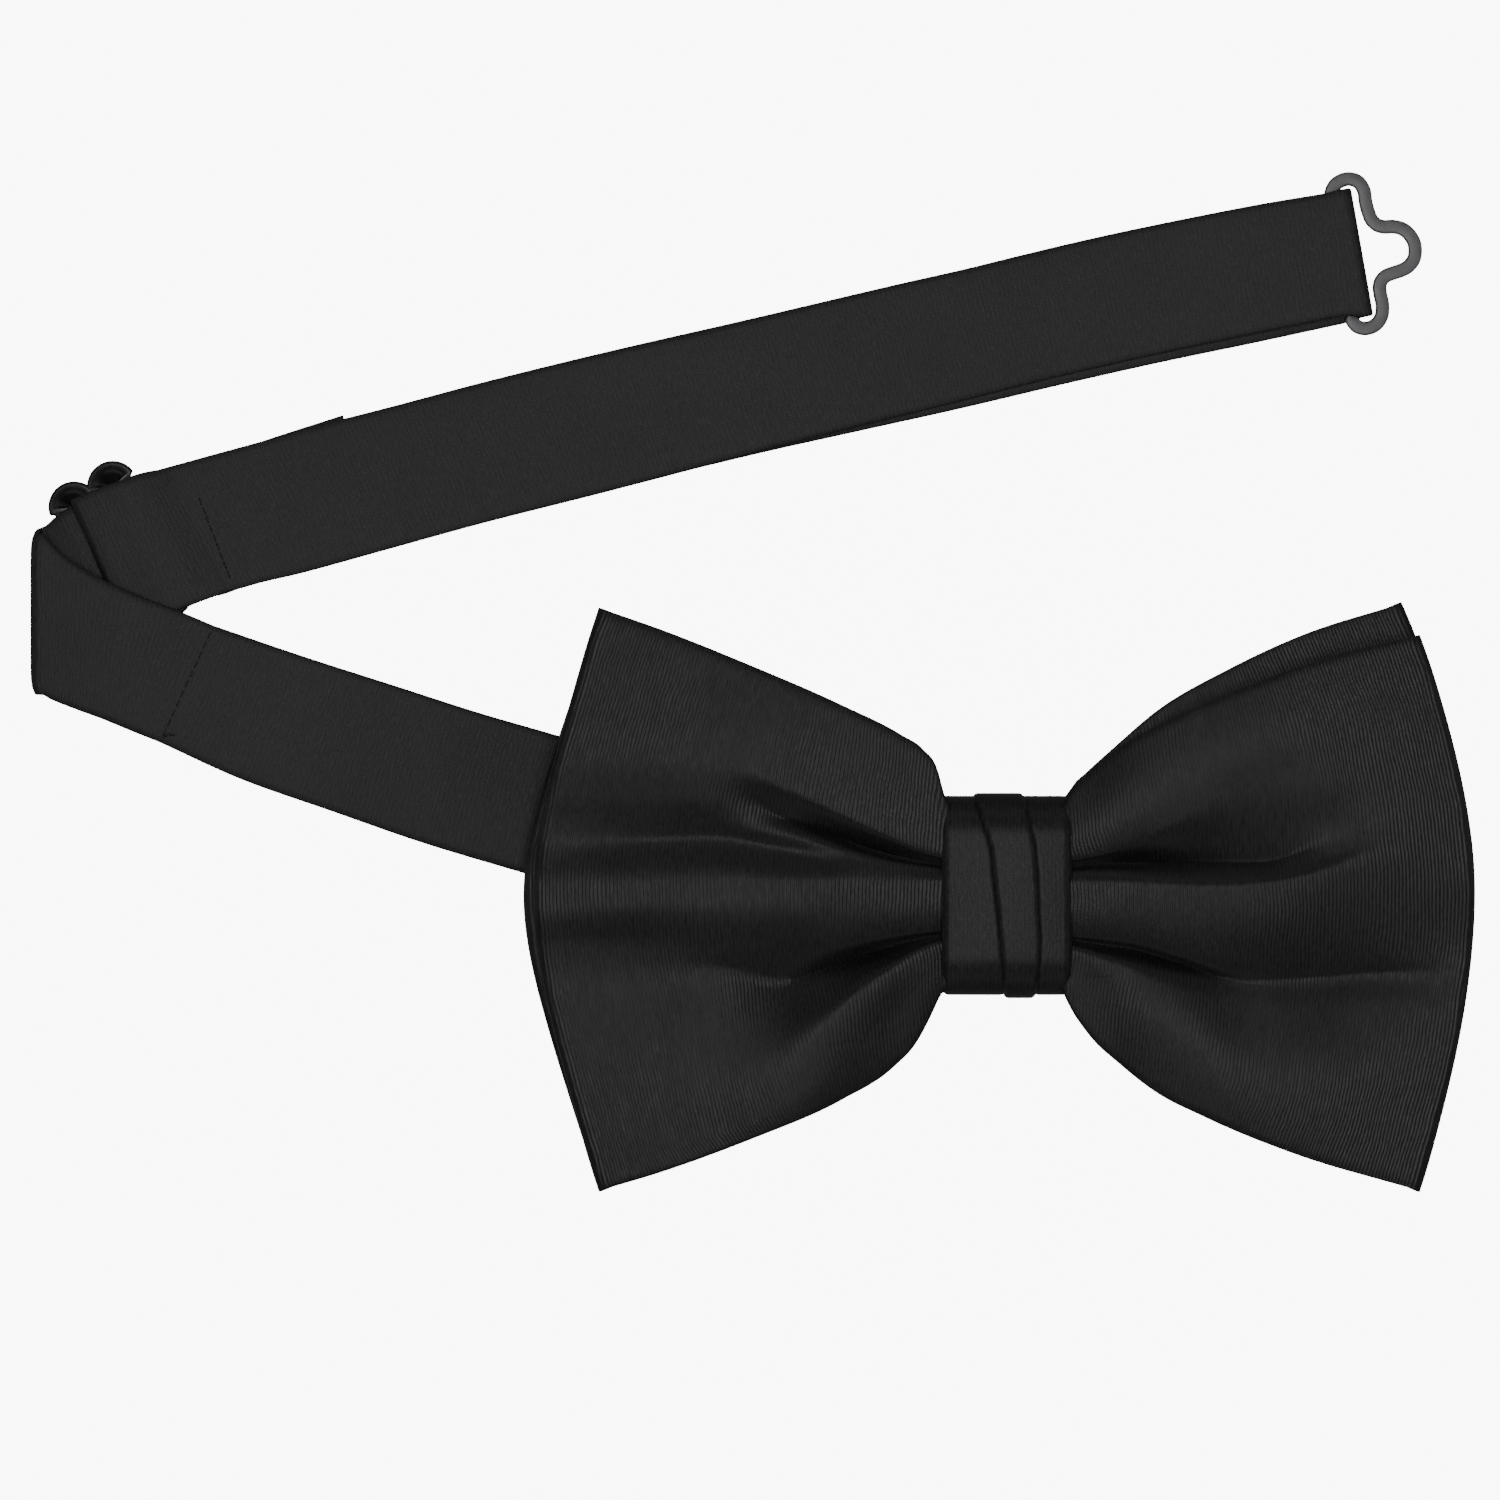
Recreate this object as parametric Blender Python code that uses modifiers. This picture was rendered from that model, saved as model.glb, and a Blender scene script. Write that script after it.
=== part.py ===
"""Pre-tied satin bow tie with an adjustable band: two sewn loops gathered at a knot, band, adjuster,
hook and eye.

The bow lies on its back. The origin is the middle of the knot's flat back face, +X runs along the bow,
+Y is the bow's height, +Z points out of its front. All lengths are in metres.
"""
import math

import bmesh
import bpy
from mathutils import Vector

MM = 0.001

# Bow: loops as (corner reach, middle reach) from the knot, and edge heights at the wing's corners.
WAIST_HALF_HEIGHT = 10.5 * MM
SHOULDER_START = 8.4 * MM
SHOULDER_END = 14.0 * MM
SHOULDER_HEIGHT = 20.3 * MM
TURN_RADIUS = 2.0 * MM
PLEAT_RIDGES = 3
SATIN_THICKNESS = 0.5 * MM
LINING_THICKNESS = 0.4 * MM
LINING_OFFSET = 0.78 * MM
PANEL_STATIONS = (0.0, 0.17, 0.21, 0.27, 0.45, 0.72, 1.0)
WING_ROWS = 12

# Knot: a pleated wrap round the gathered waist, with a thread under it.
KNOT_HALF_WIDTH = 8.0 * MM
KNOT_HALF_HEIGHT = 12.9 * MM
KNOT_DEPTH = 13.5 * MM
KNOT_THICKNESS = 1.0 * MM
KNOT_FRONT_CORNER = 4.0 * MM
KNOT_BACK_CORNER = 1.6 * MM
THREAD_RADIUS = 0.2 * MM

# Band: satin strap, plan routes as centre lines.
STRAP_WIDTH = 17.0 * MM
STRAP_THICKNESS = 0.6 * MM
LOOP_END_WIDTH = 15.0 * MM
JOINT_GAP = 0.3 * MM
SWING_AT = 10.0 * MM
SWING_ROOM = 0.45 * MM
FOLD_X = -122.6 * MM
FOLD_HEADING = math.radians(33.6)
FOLD_MIDDLE_Y = 36.3 * MM
FOLD_LOW_Z = 3.05 * MM
FOLD_HIGH_Z = 5.75 * MM
LOWER_ROUTE = ((-1.5, 0.0), (-8.0, 0.3), (-25.0, 3.0), (-42.0, 6.6), (-61.9, 12.6), (-81.0, 18.5),
               (-92.6, 22.2), (-105.0, 26.5), (-115.5, 31.3), (-122.6, 35.9))
UPPER_START = ((-122.6, 36.8),)
UPPER_END = ((-99.0, 48.9), (-82.0, 53.0), (-65.0, 57.1), (-30.6, 65.1), (3.7, 73.1), (34.0, 79.7),
             (45.0, 81.8))
SEAM_X = -104.2 * MM

# Adjuster: a flat plate with two slots either side of a middle bar.
ADJUSTER_CENTRE = (-112.5, 43.3)
ADJUSTER_HEADING = math.radians(28.0)
ADJUSTER_LENGTH = 11.5 * MM
ADJUSTER_WIDTH = 23.0 * MM
ADJUSTER_WIRE = 1.6 * MM
ADJUSTER_Z = 2.15 * MM
ADJUSTER_THICKNESS = 0.8 * MM
STUB_LENGTH = 30.0 * MM

# Eye: a flat wire frame with a rounded nose, hung by its back bar in the band's end.
EYE_BAR = (43.1 * MM, 81.5 * MM, 1.6 * MM)
EYE_HEADING = math.radians(10.0)
EYE_DROOP = math.radians(4.5)
EYE_WIRE = 1.65 * MM
EYE_BAR_WIDTH = 1.1 * MM
EYE_THICKNESS = 0.7 * MM
EYE_HALF_WIDTH = 10.3 * MM
EYE_FRONT = 4.6 * MM
EYE_NOSE_TIP = 10.2 * MM
EYE_NOSE_HALF_WIDTH = 3.8 * MM

# Hook: a flat frame with a tongue bent back over itself, hung in a tab at the knot.
HOOK_BAR_X = 21.0 * MM
HOOK_BAR_Z = 1.55 * MM
HOOK_WIDTH = 15.0 * MM
HOOK_LENGTH = 4.6 * MM
HOOK_WIRE = 1.0 * MM
HOOK_THICKNESS = 0.6 * MM
HOOK_DROOP = math.radians(3.0)
TAB_WIDTH = 11.0 * MM
TAB_THICKNESS = 0.5 * MM

SATIN = (0.022, 0.022, 0.024)
LINING = (0.03, 0.03, 0.032)
THREAD = (0.012, 0.012, 0.013)
LACQUER = (0.01, 0.01, 0.011)
STEEL = (0.28, 0.28, 0.28)


def clear_scene():
    for obj in list(bpy.data.objects):
        bpy.data.objects.remove(obj, do_unlink=True)


def new_collection(name):
    collection = bpy.data.collections.new(name)
    bpy.context.scene.collection.children.link(collection)
    return collection


def add_material(obj, colour, roughness, metallic=0.0):
    material = bpy.data.materials.new(obj.name)
    material.use_nodes = True
    shader = material.node_tree.nodes["Principled BSDF"]
    shader.inputs["Base Color"].default_value = (*colour, 1.0)
    shader.inputs["Roughness"].default_value = roughness
    shader.inputs["Metallic"].default_value = metallic
    obj.data.materials.append(material)


def add_object(name, data, colour, roughness, metallic=0.0):
    obj = bpy.data.objects.new(name, data)
    PARTS.objects.link(obj)
    add_material(obj, colour, roughness, metallic)
    return obj


def put_origin(obj, point):
    """Move an object's origin to a point, leaving its shape where it is."""
    shift = Vector(point)
    for vertex in obj.data.vertices:
        vertex.co -= shift
    obj.location = shift


def ease(t):
    t = min(max(t, 0.0), 1.0)
    return t * t * (3.0 - 2.0 * t)


def spline(points, steps):
    """A Catmull-Rom curve through points, with steps pieces between each two."""
    points = [Vector(p) for p in points]
    padded = [2 * points[0] - points[1]] + points + [2 * points[-1] - points[-2]]
    result = []
    for a, b, c, d in zip(padded, padded[1:], padded[2:], padded[3:]):
        for i in range(steps):
            t = i / steps
            result.append(0.5 * (2 * b + (c - a) * t + (2 * a - 5 * b + 4 * c - d) * t * t
                                 + (3 * b - a - 3 * c + d) * t ** 3))
    result.append(points[-1])
    return result


def levels(keys, s):
    """Smooth interpolation of (station, value) pairs."""
    for (s0, v0), (s1, v1) in zip(keys, keys[1:]):
        if s <= s1:
            return v0 + (v1 - v0) * ease((s - s0) / (s1 - s0))
    return keys[-1][1]


def sheet(name, rows, thickness, colour, closed=False, roughness=0.45):
    """An open or ring-shaped grid of points, thickened evenly about its middle."""
    bm = bmesh.new()
    grid = [[bm.verts.new(p) for p in row] for row in rows]
    if closed:
        grid.append(grid[0])
    for row, next_row in zip(grid, grid[1:]):
        for i in range(len(row) - 1):
            bm.faces.new((row[i], next_row[i], next_row[i + 1], row[i + 1]))
    bmesh.ops.recalc_face_normals(bm, faces=bm.faces)
    mesh = bpy.data.meshes.new(name)
    bm.to_mesh(mesh)
    bm.free()
    mesh.shade_smooth()
    obj = add_object(name, mesh, colour, roughness)
    solidify = obj.modifiers.new("thickness", "SOLIDIFY")
    solidify.thickness = thickness
    solidify.offset = 0.0
    return obj


# ---------------------------------------------------------------- bow loops

def edge_height(x, corner_x, corner_height):
    """Half height of a wing at a distance x from the knot's middle."""
    if x <= SHOULDER_START:
        return WAIST_HALF_HEIGHT
    if x <= SHOULDER_END:
        turn = (x - SHOULDER_START) / (SHOULDER_END - SHOULDER_START) * math.pi / 2
        return WAIST_HALF_HEIGHT + (SHOULDER_HEIGHT - WAIST_HALF_HEIGHT) * math.sin(turn)
    t = (x - SHOULDER_END) / (corner_x - SHOULDER_END)
    crown = 1.0 * MM * math.sin(math.pi * t)
    return SHOULDER_HEIGHT + (corner_height - SHOULDER_HEIGHT) * t + crown


def wing_point(loop, side, face, s, v):
    """A point on the front or back panel: s runs from knot to turn, v from lower to upper edge."""
    corner, middle, top, bottom = loop["wings"][side]
    reach = corner + (middle - corner) * (1 - v * v) - TURN_RADIUS - SATIN_THICKNESS / 2
    flat_x = s * (corner - TURN_RADIUS)
    height = edge_height(flat_x, corner, top if v > 0 else bottom)
    level = levels(loop[face], s)
    pleat = levels(loop[face + "_pleat"], s) * math.cos(PLEAT_RIDGES * math.pi * v)
    return Vector((side * s * reach, height * v, level + pleat))


def loop_rows(loop):
    """The loop's stations in order: right front, right turn, right back, then the left side back again."""
    def row(make):
        return [make(-1 + 2 * j / WING_ROWS) for j in range(WING_ROWS + 1)]

    def turn(side, v, angle):
        front = wing_point(loop, side, "front", 1.0, v)
        back = wing_point(loop, side, "back", 1.0, v)
        centre = (front + back) / 2
        radius = (front.z - back.z) / 2
        return centre + Vector((side * math.sin(angle), 0, math.cos(angle))) * radius

    angles = [math.pi * i / 3 for i in range(1, 3)]
    rows = []
    for s in PANEL_STATIONS:
        rows.append(row(lambda v: wing_point(loop, 1, "front", s, v)))
    for angle in angles:
        rows.append(row(lambda v: turn(1, v, angle)))
    for s in reversed(PANEL_STATIONS):
        rows.append(row(lambda v: wing_point(loop, 1, "back", s, v)))
    for s in PANEL_STATIONS[1:]:
        rows.append(row(lambda v: wing_point(loop, -1, "back", s, v)))
    for angle in reversed(angles):
        rows.append(row(lambda v: turn(-1, v, angle)))
    for s in reversed(PANEL_STATIONS[1:]):
        rows.append(row(lambda v: wing_point(loop, -1, "front", s, v)))
    return rows


def inner_rows(rows, distance):
    """The same ring of stations, moved towards the inside of the loop."""
    count = len(rows)
    moved = []
    for i, row in enumerate(rows):
        before, after = rows[i - 1], rows[(i + 1) % count]
        new_row = []
        for j, point in enumerate(row):
            along = after[j] - before[j]
            across = row[min(j + 1, WING_ROWS)] - row[max(j - 1, 0)]
            normal = along.cross(across).normalized()
            new_row.append(point - normal * distance)
        moved.append(new_row)
    return moved


def build_loop(name, loop):
    rows = loop_rows(loop)
    sheet(name + "_satin", rows, SATIN_THICKNESS, SATIN, closed=True, roughness=0.4)
    sheet(name + "_interlining", inner_rows(rows, LINING_OFFSET), LINING_THICKNESS, LINING,
          closed=True, roughness=0.9)


def scaled(*pairs):
    return [(s, value * MM) for s, value in pairs]


FRONT_BOW = {
    "wings": {1: (52.1 * MM, 58.9 * MM, 32.4 * MM, 37.6 * MM),
              -1: (51.4 * MM, 59.6 * MM, 35.4 * MM, 37.7 * MM)},
    "front": scaled((0, 10.5), (0.17, 10.7), (0.27, 14.3), (0.45, 15.8), (0.72, 14.8), (1, 13.2)),
    "front_pleat": scaled((0, 0.8), (0.17, 0.9), (0.27, 2.2), (0.45, 1.9), (0.72, 0.8), (1, 0)),
    "back": scaled((0, 7.9), (0.17, 8.1), (0.27, 9.3), (0.72, 9.3), (1, 9.2)),
    "back_pleat": scaled((0, 0.8), (0.17, 0.7), (0.27, 0)),
}
BACK_BOW = {
    "wings": {1: (50.3 * MM, 59.5 * MM, 37.1 * MM, 36.4 * MM),
              -1: (51.0 * MM, 61.1 * MM, 34.2 * MM, 36.4 * MM)},
    "front": scaled((0, 7.0), (0.17, 7.1), (0.27, 8.1), (0.72, 8.1), (1, 8.0)),
    "front_pleat": scaled((0, 0.8), (0.17, 0.7), (0.27, 0)),
    "back": scaled((0, 4.4), (0.17, 4.5), (0.27, 5.1), (0.72, 4.6), (1, 4.0)),
    "back_pleat": scaled((0, 0.8), (0.17, 0.6), (0.27, 0)),
}


# ---------------------------------------------------------------- knot

def rounded_section(half_y, low, high, front_radius, back_radius, steps):
    """Points (y, z) round a rectangle with larger corners at the front than at the back."""
    front = high - front_radius
    back = low + back_radius
    corners = ((1, front, front_radius, 0.0), (-1, front, front_radius, 0.5),
               (-1, back, back_radius, 1.0), (1, back, back_radius, 1.5))
    points = []
    for side, z, radius, start in corners:
        for i in range(steps + 1):
            angle = math.pi * (start + 0.5 * i / steps)
            points.append((side * (half_y - radius) + radius * math.cos(angle), z + radius * math.sin(angle)))
    return points


def build_knot_wrap():
    """A ring round the waist whose front shows three lengthwise folds."""
    half = KNOT_THICKNESS / 2
    section = rounded_section(KNOT_HALF_HEIGHT - half, half, KNOT_DEPTH - half, KNOT_FRONT_CORNER,
                              KNOT_BACK_CORNER, 4)
    columns = 16
    rows = []
    for y, z in section:
        row = []
        for i in range(columns + 1):
            x = -KNOT_HALF_WIDTH + 2 * KNOT_HALF_WIDTH * i / columns
            on_front = ease((z - KNOT_DEPTH / 2) / (KNOT_DEPTH / 2))
            fold = abs(math.sin(1.5 * math.pi * (x / KNOT_HALF_WIDTH + 1) + 0.001))
            row.append(Vector((x, y, z + 0.35 * MM * on_front * fold)))
        rows.append(row)
    sheet("knot_wrap", rows, KNOT_THICKNESS, SATIN, closed=True, roughness=0.4)


def thread(name, points, radius, cyclic=False):
    curve = bpy.data.curves.new(name, "CURVE")
    curve.dimensions = "3D"
    curve.bevel_depth = radius
    curve.bevel_resolution = 1
    curve.use_fill_caps = not cyclic
    line = curve.splines.new("POLY")
    line.points.add(len(points) - 1)
    for spot, point in zip(line.points, points):
        spot.co = (*point, 1.0)
    line.use_cyclic_u = cyclic
    return add_object(name, curve, THREAD, 0.7)


def build_gather_thread():
    section = rounded_section(11.4 * MM, 2.75 * MM, 12.1 * MM, 3.2 * MM, 0.8 * MM, 4)
    thread("gather_thread", [(0, y, z) for y, z in section], THREAD_RADIUS, cyclic=True)


# ---------------------------------------------------------------- band

def evenly(start, end, keys, count):
    """Evenly spaced (distance, height) pairs that follow the heights in keys."""
    distances = [start + (end - start) * i / count for i in range(count + 1)]
    return [(d, levels(keys, max(d, keys[0][0]))) for d in distances]


class Route:
    """A centre line in plan, read by distance from its first point."""

    def __init__(self, points):
        self.points = spline([(x * MM, y * MM, 0) for x, y in points], 8)
        self.lengths = [0.0]
        for a, b in zip(self.points, self.points[1:]):
            self.lengths.append(self.lengths[-1] + (b - a).length)
        self.total = self.lengths[-1]

    def at(self, distance):
        """The point and the heading at a distance, extended straight past the ends."""
        i = 0
        while i < len(self.points) - 2 and self.lengths[i + 1] < distance:
            i += 1
        heading = (self.points[i + 1] - self.points[i]).normalized()
        return self.points[i] + heading * (distance - self.lengths[i]), heading

    def nearest(self, x):
        """The distance at which the route passes x."""
        for i in range(len(self.points) - 1):
            a, b = self.points[i], self.points[i + 1]
            if min(a.x, b.x) <= x <= max(a.x, b.x):
                return self.lengths[i] + (b - a).length * (x - a.x) / (b.x - a.x)
        return self.total


def strap(name, route, profile, steps=2, width=STRAP_WIDTH, thickness=STRAP_THICKNESS, columns=2,
          fold_at=None, colour=SATIN):
    """A flat strap along a route. profile lists (distance, height) of its middle.

    Towards fold_at its crosswise lines turn until they lie along Y, as they do at the flat fold.
    """
    rows = []
    for spot in spline([(d, z, 0) for d, z in profile], steps):
        centre, heading = route.at(spot.x)
        across = Vector((-heading.y, heading.x, 0))
        if across.y < 0:
            across.negate()
        line = across.copy()
        if fold_at is not None:
            share = ease(1 - abs(spot.x - fold_at) / (9 * MM))
            line = across.lerp(Vector((0, 1, 0)), share).normalized()
        half = width / 2 / line.dot(across)
        centre = Vector((centre.x, centre.y, spot.y))
        rows.append([centre + line * half * (-1 + 2 * j / columns) for j in range(columns + 1)])
    return sheet(name, rows, thickness, colour)


def upper_route():
    """The upper run, straight where it passes through the adjuster."""
    x, y = ADJUSTER_CENTRE
    straight = tuple((x + d * math.cos(ADJUSTER_HEADING), y + d * math.sin(ADJUSTER_HEADING))
                     for d in (-6.5, -3.0, 0.0, 3.0, 6.5))
    return Route(UPPER_START + straight + UPPER_END)


def build_lower_band(route):
    seam = route.nearest(SEAM_X)
    end = route.nearest(FOLD_X)
    heights = [(0, 1.6 * MM), (55 * MM, 1.6 * MM), (95 * MM, FOLD_HIGH_Z)]
    anchor = [(0, 1.6 * MM), (SWING_AT / 2, 1.6 * MM), (SWING_AT - SWING_ROOM, 1.6 * MM)]
    inner = evenly(SWING_AT + SWING_ROOM, seam - JOINT_GAP / 2, heights, 14)
    strap("band_anchor", route, anchor, 1)
    outer = [(seam + JOINT_GAP / 2, FOLD_HIGH_Z), ((seam + end) / 2, FOLD_HIGH_Z), (end, FOLD_HIGH_Z)]
    inner_obj = strap("band_inner_section", route, inner, 1)
    strap("band_outer_section", route, outer, 5, fold_at=end)
    hinge, _ = route.at(SWING_AT)
    put_origin(inner_obj, (hinge.x, hinge.y, 1.6 * MM))
    stitch_line("band_seam_stitch", route, seam - 1.4 * MM, FOLD_HIGH_Z + STRAP_THICKNESS / 2)


def stitch_line(name, route, distance, surface):
    """A thread laid across the strap, rising and falling as it passes each hole."""
    centre, heading = route.at(distance)
    across = Vector((-heading.y, heading.x, 0))
    radius = 0.15 * MM
    waves = 8
    points = []
    for i in range(waves * 4 + 1):
        share = i / (waves * 4)
        lift = 0.1 * MM * (1 + math.sin(share * waves * math.tau))
        point = centre + across * (STRAP_WIDTH * 0.94 * (share - 0.5))
        points.append((point.x, point.y, surface + radius + 0.15 * MM + lift))
    thread(name, points, radius)


def build_fold_turn():
    """The half turn that joins the lower and the upper run, with its crosswise lines along Y."""
    radius = (FOLD_HIGH_Z - FOLD_LOW_Z) / 2
    middle_z = (FOLD_HIGH_Z + FOLD_LOW_Z) / 2
    half = STRAP_WIDTH / 2 / math.cos(FOLD_HEADING)
    rows = []
    for i in range(9):
        angle = math.pi * i / 8
        y = FOLD_MIDDLE_Y + (0.5 - i / 8) * 0.5 * MM
        x = FOLD_X - JOINT_GAP - radius * math.sin(angle)
        z = middle_z + radius * math.cos(angle)
        rows.append([Vector((x, y + half * j, z)) for j in (-1, 0, 1)])
    sheet("band_fold_turn", rows, STRAP_THICKNESS, SATIN)


def build_feed(route, end):
    """The wedge-shaped stretch from the slanted fold to the adjuster's first bar."""
    half_fold = STRAP_WIDTH / 2 / math.cos(FOLD_HEADING)
    centre, heading = route.at(end)
    across = Vector((-heading.y, heading.x, 0)) * STRAP_WIDTH / 2
    line_x = FOLD_X + 0.1 * MM
    near, far = (centre - across).xy, (centre + across).xy
    meeting = near.lerp(far, (line_x - near.x) / (far.x - near.x))
    corners = ((line_x, FOLD_MIDDLE_Y - half_fold), near, meeting)
    bm = bmesh.new()
    low, high = ([bm.verts.new((x, y, FOLD_LOW_Z + side * STRAP_THICKNESS / 2)) for x, y in corners]
                 for side in (-1, 1))
    bm.faces.new(low[::-1])
    bm.faces.new(high)
    for i in range(3):
        k = (i + 1) % 3
        bm.faces.new((low[i], low[k], high[k], high[i]))
    mesh = bpy.data.meshes.new("band_feed")
    bm.to_mesh(mesh)
    bm.free()
    feed = add_object("band_feed", mesh, SATIN, 0.45)
    put_origin(feed, (FOLD_X, FOLD_MIDDLE_Y, (FOLD_LOW_Z + FOLD_HIGH_Z) / 2))


def build_upper_band(route):
    """The run through the adjuster, the end wrapped round its middle bar, and the loop to the eye."""
    centre = route.nearest(ADJUSTER_CENTRE[0] * MM)
    bar = route.nearest(EYE_BAR[0])

    def profile(*pairs):
        return [(centre + d * MM, z * MM) for d, z in pairs]

    build_feed(route, centre - 6.75 * MM)
    strap("adjuster_weave", route, profile(
        (-6.3, 3.1), (-5.2, 3.15), (-4.2, 3.1), (-3.4, 2.6), (-2.95, 1.8), (-2.5, 1.0), (-1.8, 0.55),
        (-0.8, 0.45), (0.9, 0.45), (1.8, 0.7), (2.5, 1.5), (3.0, 2.4), (3.7, 3.0), (4.6, 3.15), (6.2, 3.1),
        (8.2, 2.2), (10.4, 1.0),
        (12.5, 0.5), (14.0, 0.45)), 2)
    strap("adjuster_wrap", route, profile(
        (14.0, 2.25), (12.4, 2.3), (10.2, 2.8), (8.0, 3.95), (6.0, 4.8), (4.4, 4.8), (3.1, 4.7), (2.0, 4.3),
        (1.3, 3.5), (0.8, 3.1), (-0.8, 3.05), (-1.44, 2.79), (-1.7, 2.15), (-1.44, 1.51), (-0.8, 1.25),
        (0.7, 1.25), (1.3, 1.6), (1.75, 2.6), (2.3, 3.5), (3.2, 3.88), (4.6, 3.95), (6.1, 3.9), (8.0, 3.05),
        (10.2, 1.9), (12.3, 1.4), (14.5, 1.3), (STUB_LENGTH / MM, 1.3)), 2)

    near, far = centre + 14.3 * MM, bar - 6.0 * MM
    back_heights = [(near, 0.45 * MM), (bar - 20 * MM, 0.45 * MM), (far, 0.55 * MM)]
    front_heights = [(near, 2.25 * MM), (centre + 29 * MM, 2.2 * MM), (centre + 40 * MM, 1.3 * MM),
                     (bar - 24 * MM, 1.3 * MM), (far, 2.22 * MM)]
    strap("loop_back_layer", route, evenly(near, far, back_heights, 18), 1)
    strap("loop_front_layer", route, evenly(near, far, front_heights, 27), 1)
    turn_radius = 1.05 * MM
    bar_z = EYE_BAR[2]
    turn = []
    for i in range(7):
        angle = -math.pi / 2 + math.pi * i / 6
        turn.append((bar + 0.1 * MM + turn_radius * math.cos(angle), bar_z + turn_radius * math.sin(angle)))
    start = far + JOINT_GAP
    strap("loop_end_fold", route, [(start, 0.55 * MM), (bar - 4 * MM, 0.55 * MM), (bar - 1.0 * MM, 0.55 * MM)]
          + turn + [(bar - 1.0 * MM, 2.65 * MM), (bar - 4 * MM, 2.5 * MM), (start, 2.25 * MM)], 1,
          width=LOOP_END_WIDTH)
    stitch_line("adjuster_wrap_stitch", route, centre + 12.6 * MM, 2.6 * MM)


# ---------------------------------------------------------------- metal pieces

def flat_piece(name, outlines, thickness, colour, roughness, metallic):
    """A plate of the given outlines, the first its edge and the rest its holes, as a mesh."""
    curve = bpy.data.curves.new(name, "CURVE")
    curve.dimensions = "2D"
    curve.fill_mode = "BOTH"
    curve.extrude = thickness / 2
    for outline in outlines:
        line = curve.splines.new("POLY")
        line.points.add(len(outline) - 1)
        for spot, (x, y) in zip(line.points, outline):
            spot.co = (x, y, 0, 1)
        line.use_cyclic_u = True
    source = bpy.data.objects.new(name + "_outline", curve)
    PARTS.objects.link(source)
    bpy.context.view_layer.update()
    evaluated = source.evaluated_get(bpy.context.evaluated_depsgraph_get())
    mesh = bpy.data.meshes.new_from_object(evaluated)
    bpy.data.objects.remove(source, do_unlink=True)
    bm = bmesh.new()
    bm.from_mesh(mesh)
    bmesh.ops.remove_doubles(bm, verts=bm.verts, dist=0.01 * MM)
    bmesh.ops.recalc_face_normals(bm, faces=bm.faces)
    bm.to_mesh(mesh)
    bm.free()
    return add_object(name, mesh, colour, roughness, metallic)


def arc(cx, cy, radius, start, end, steps):
    """Points on an arc, angles in degrees."""
    return [(cx + radius * math.cos(math.radians(start + (end - start) * i / steps)),
             cy + radius * math.sin(math.radians(start + (end - start) * i / steps)))
            for i in range(steps + 1)]


def stadium(cx, half_width, half_length, steps=6):
    """A slot shape that is long in Y."""
    reach = half_length - half_width
    return arc(cx, reach, half_width, 0, 180, steps) + arc(cx, -reach, half_width, 180, 360, steps)


def build_adjuster():
    """Two long loops side by side that share a middle bar, with a notch between them at each end."""
    lobe = ADJUSTER_LENGTH / 4 + 0.07 * MM
    spread = ADJUSTER_LENGTH / 2 - lobe
    half = ADJUSTER_WIDTH / 2
    reach = half - lobe
    slot_half_width = (ADJUSTER_LENGTH - 3 * ADJUSTER_WIRE) / 4
    slot_centre = (ADJUSTER_WIRE / 2) + slot_half_width
    notch = math.degrees(math.acos(spread / lobe)) + 2
    top = arc(spread, reach, lobe, 0, 180 - notch, 7) + arc(-spread, reach, lobe, notch, 180, 7)
    bottom = [(-x, -y) for x, y in top]
    slots = [stadium(side * slot_centre, slot_half_width, half - ADJUSTER_WIRE) for side in (1, -1)]
    obj = flat_piece("adjuster_slide", [top + bottom] + slots, ADJUSTER_THICKNESS, LACQUER, 0.25, 0.3)
    obj.location = (ADJUSTER_CENTRE[0] * MM, ADJUSTER_CENTRE[1] * MM, ADJUSTER_Z)
    obj.rotation_euler = (0, 0, ADJUSTER_HEADING)


def eye_outline(inset):
    """The eye's outer edge, or its inner edge one wire in: back bar at x = 0, nose towards +X."""
    back = EYE_BAR_WIDTH / 2 if inset else -EYE_BAR_WIDTH / 2
    front = EYE_FRONT - inset
    half = EYE_HALF_WIDTH - inset
    corner = (front - back) / 2
    nose_radius = EYE_NOSE_HALF_WIDTH - inset
    nose_centre = EYE_NOSE_TIP - EYE_NOSE_HALF_WIDTH
    middle = (front + back) / 2
    half_outline = arc(nose_centre, 0, nose_radius, 0, 90, 6)
    half_outline += [(front + 0.4 * MM, nose_radius), (front, nose_radius + 0.4 * MM)]
    half_outline += arc(middle, half - corner, corner, 0, 180, 8)
    return half_outline + [(x, -y) for x, y in reversed(half_outline[1:])]


def build_eye():
    obj = flat_piece("clasp_eye", [eye_outline(0), eye_outline(EYE_WIRE)], EYE_THICKNESS, STEEL, 0.4, 0.9)
    route = upper_route()
    centre, _ = route.at(route.nearest(EYE_BAR[0]))
    obj.location = (centre.x, centre.y, EYE_BAR[2])
    obj.rotation_euler = (0, EYE_DROOP, EYE_HEADING)


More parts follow.
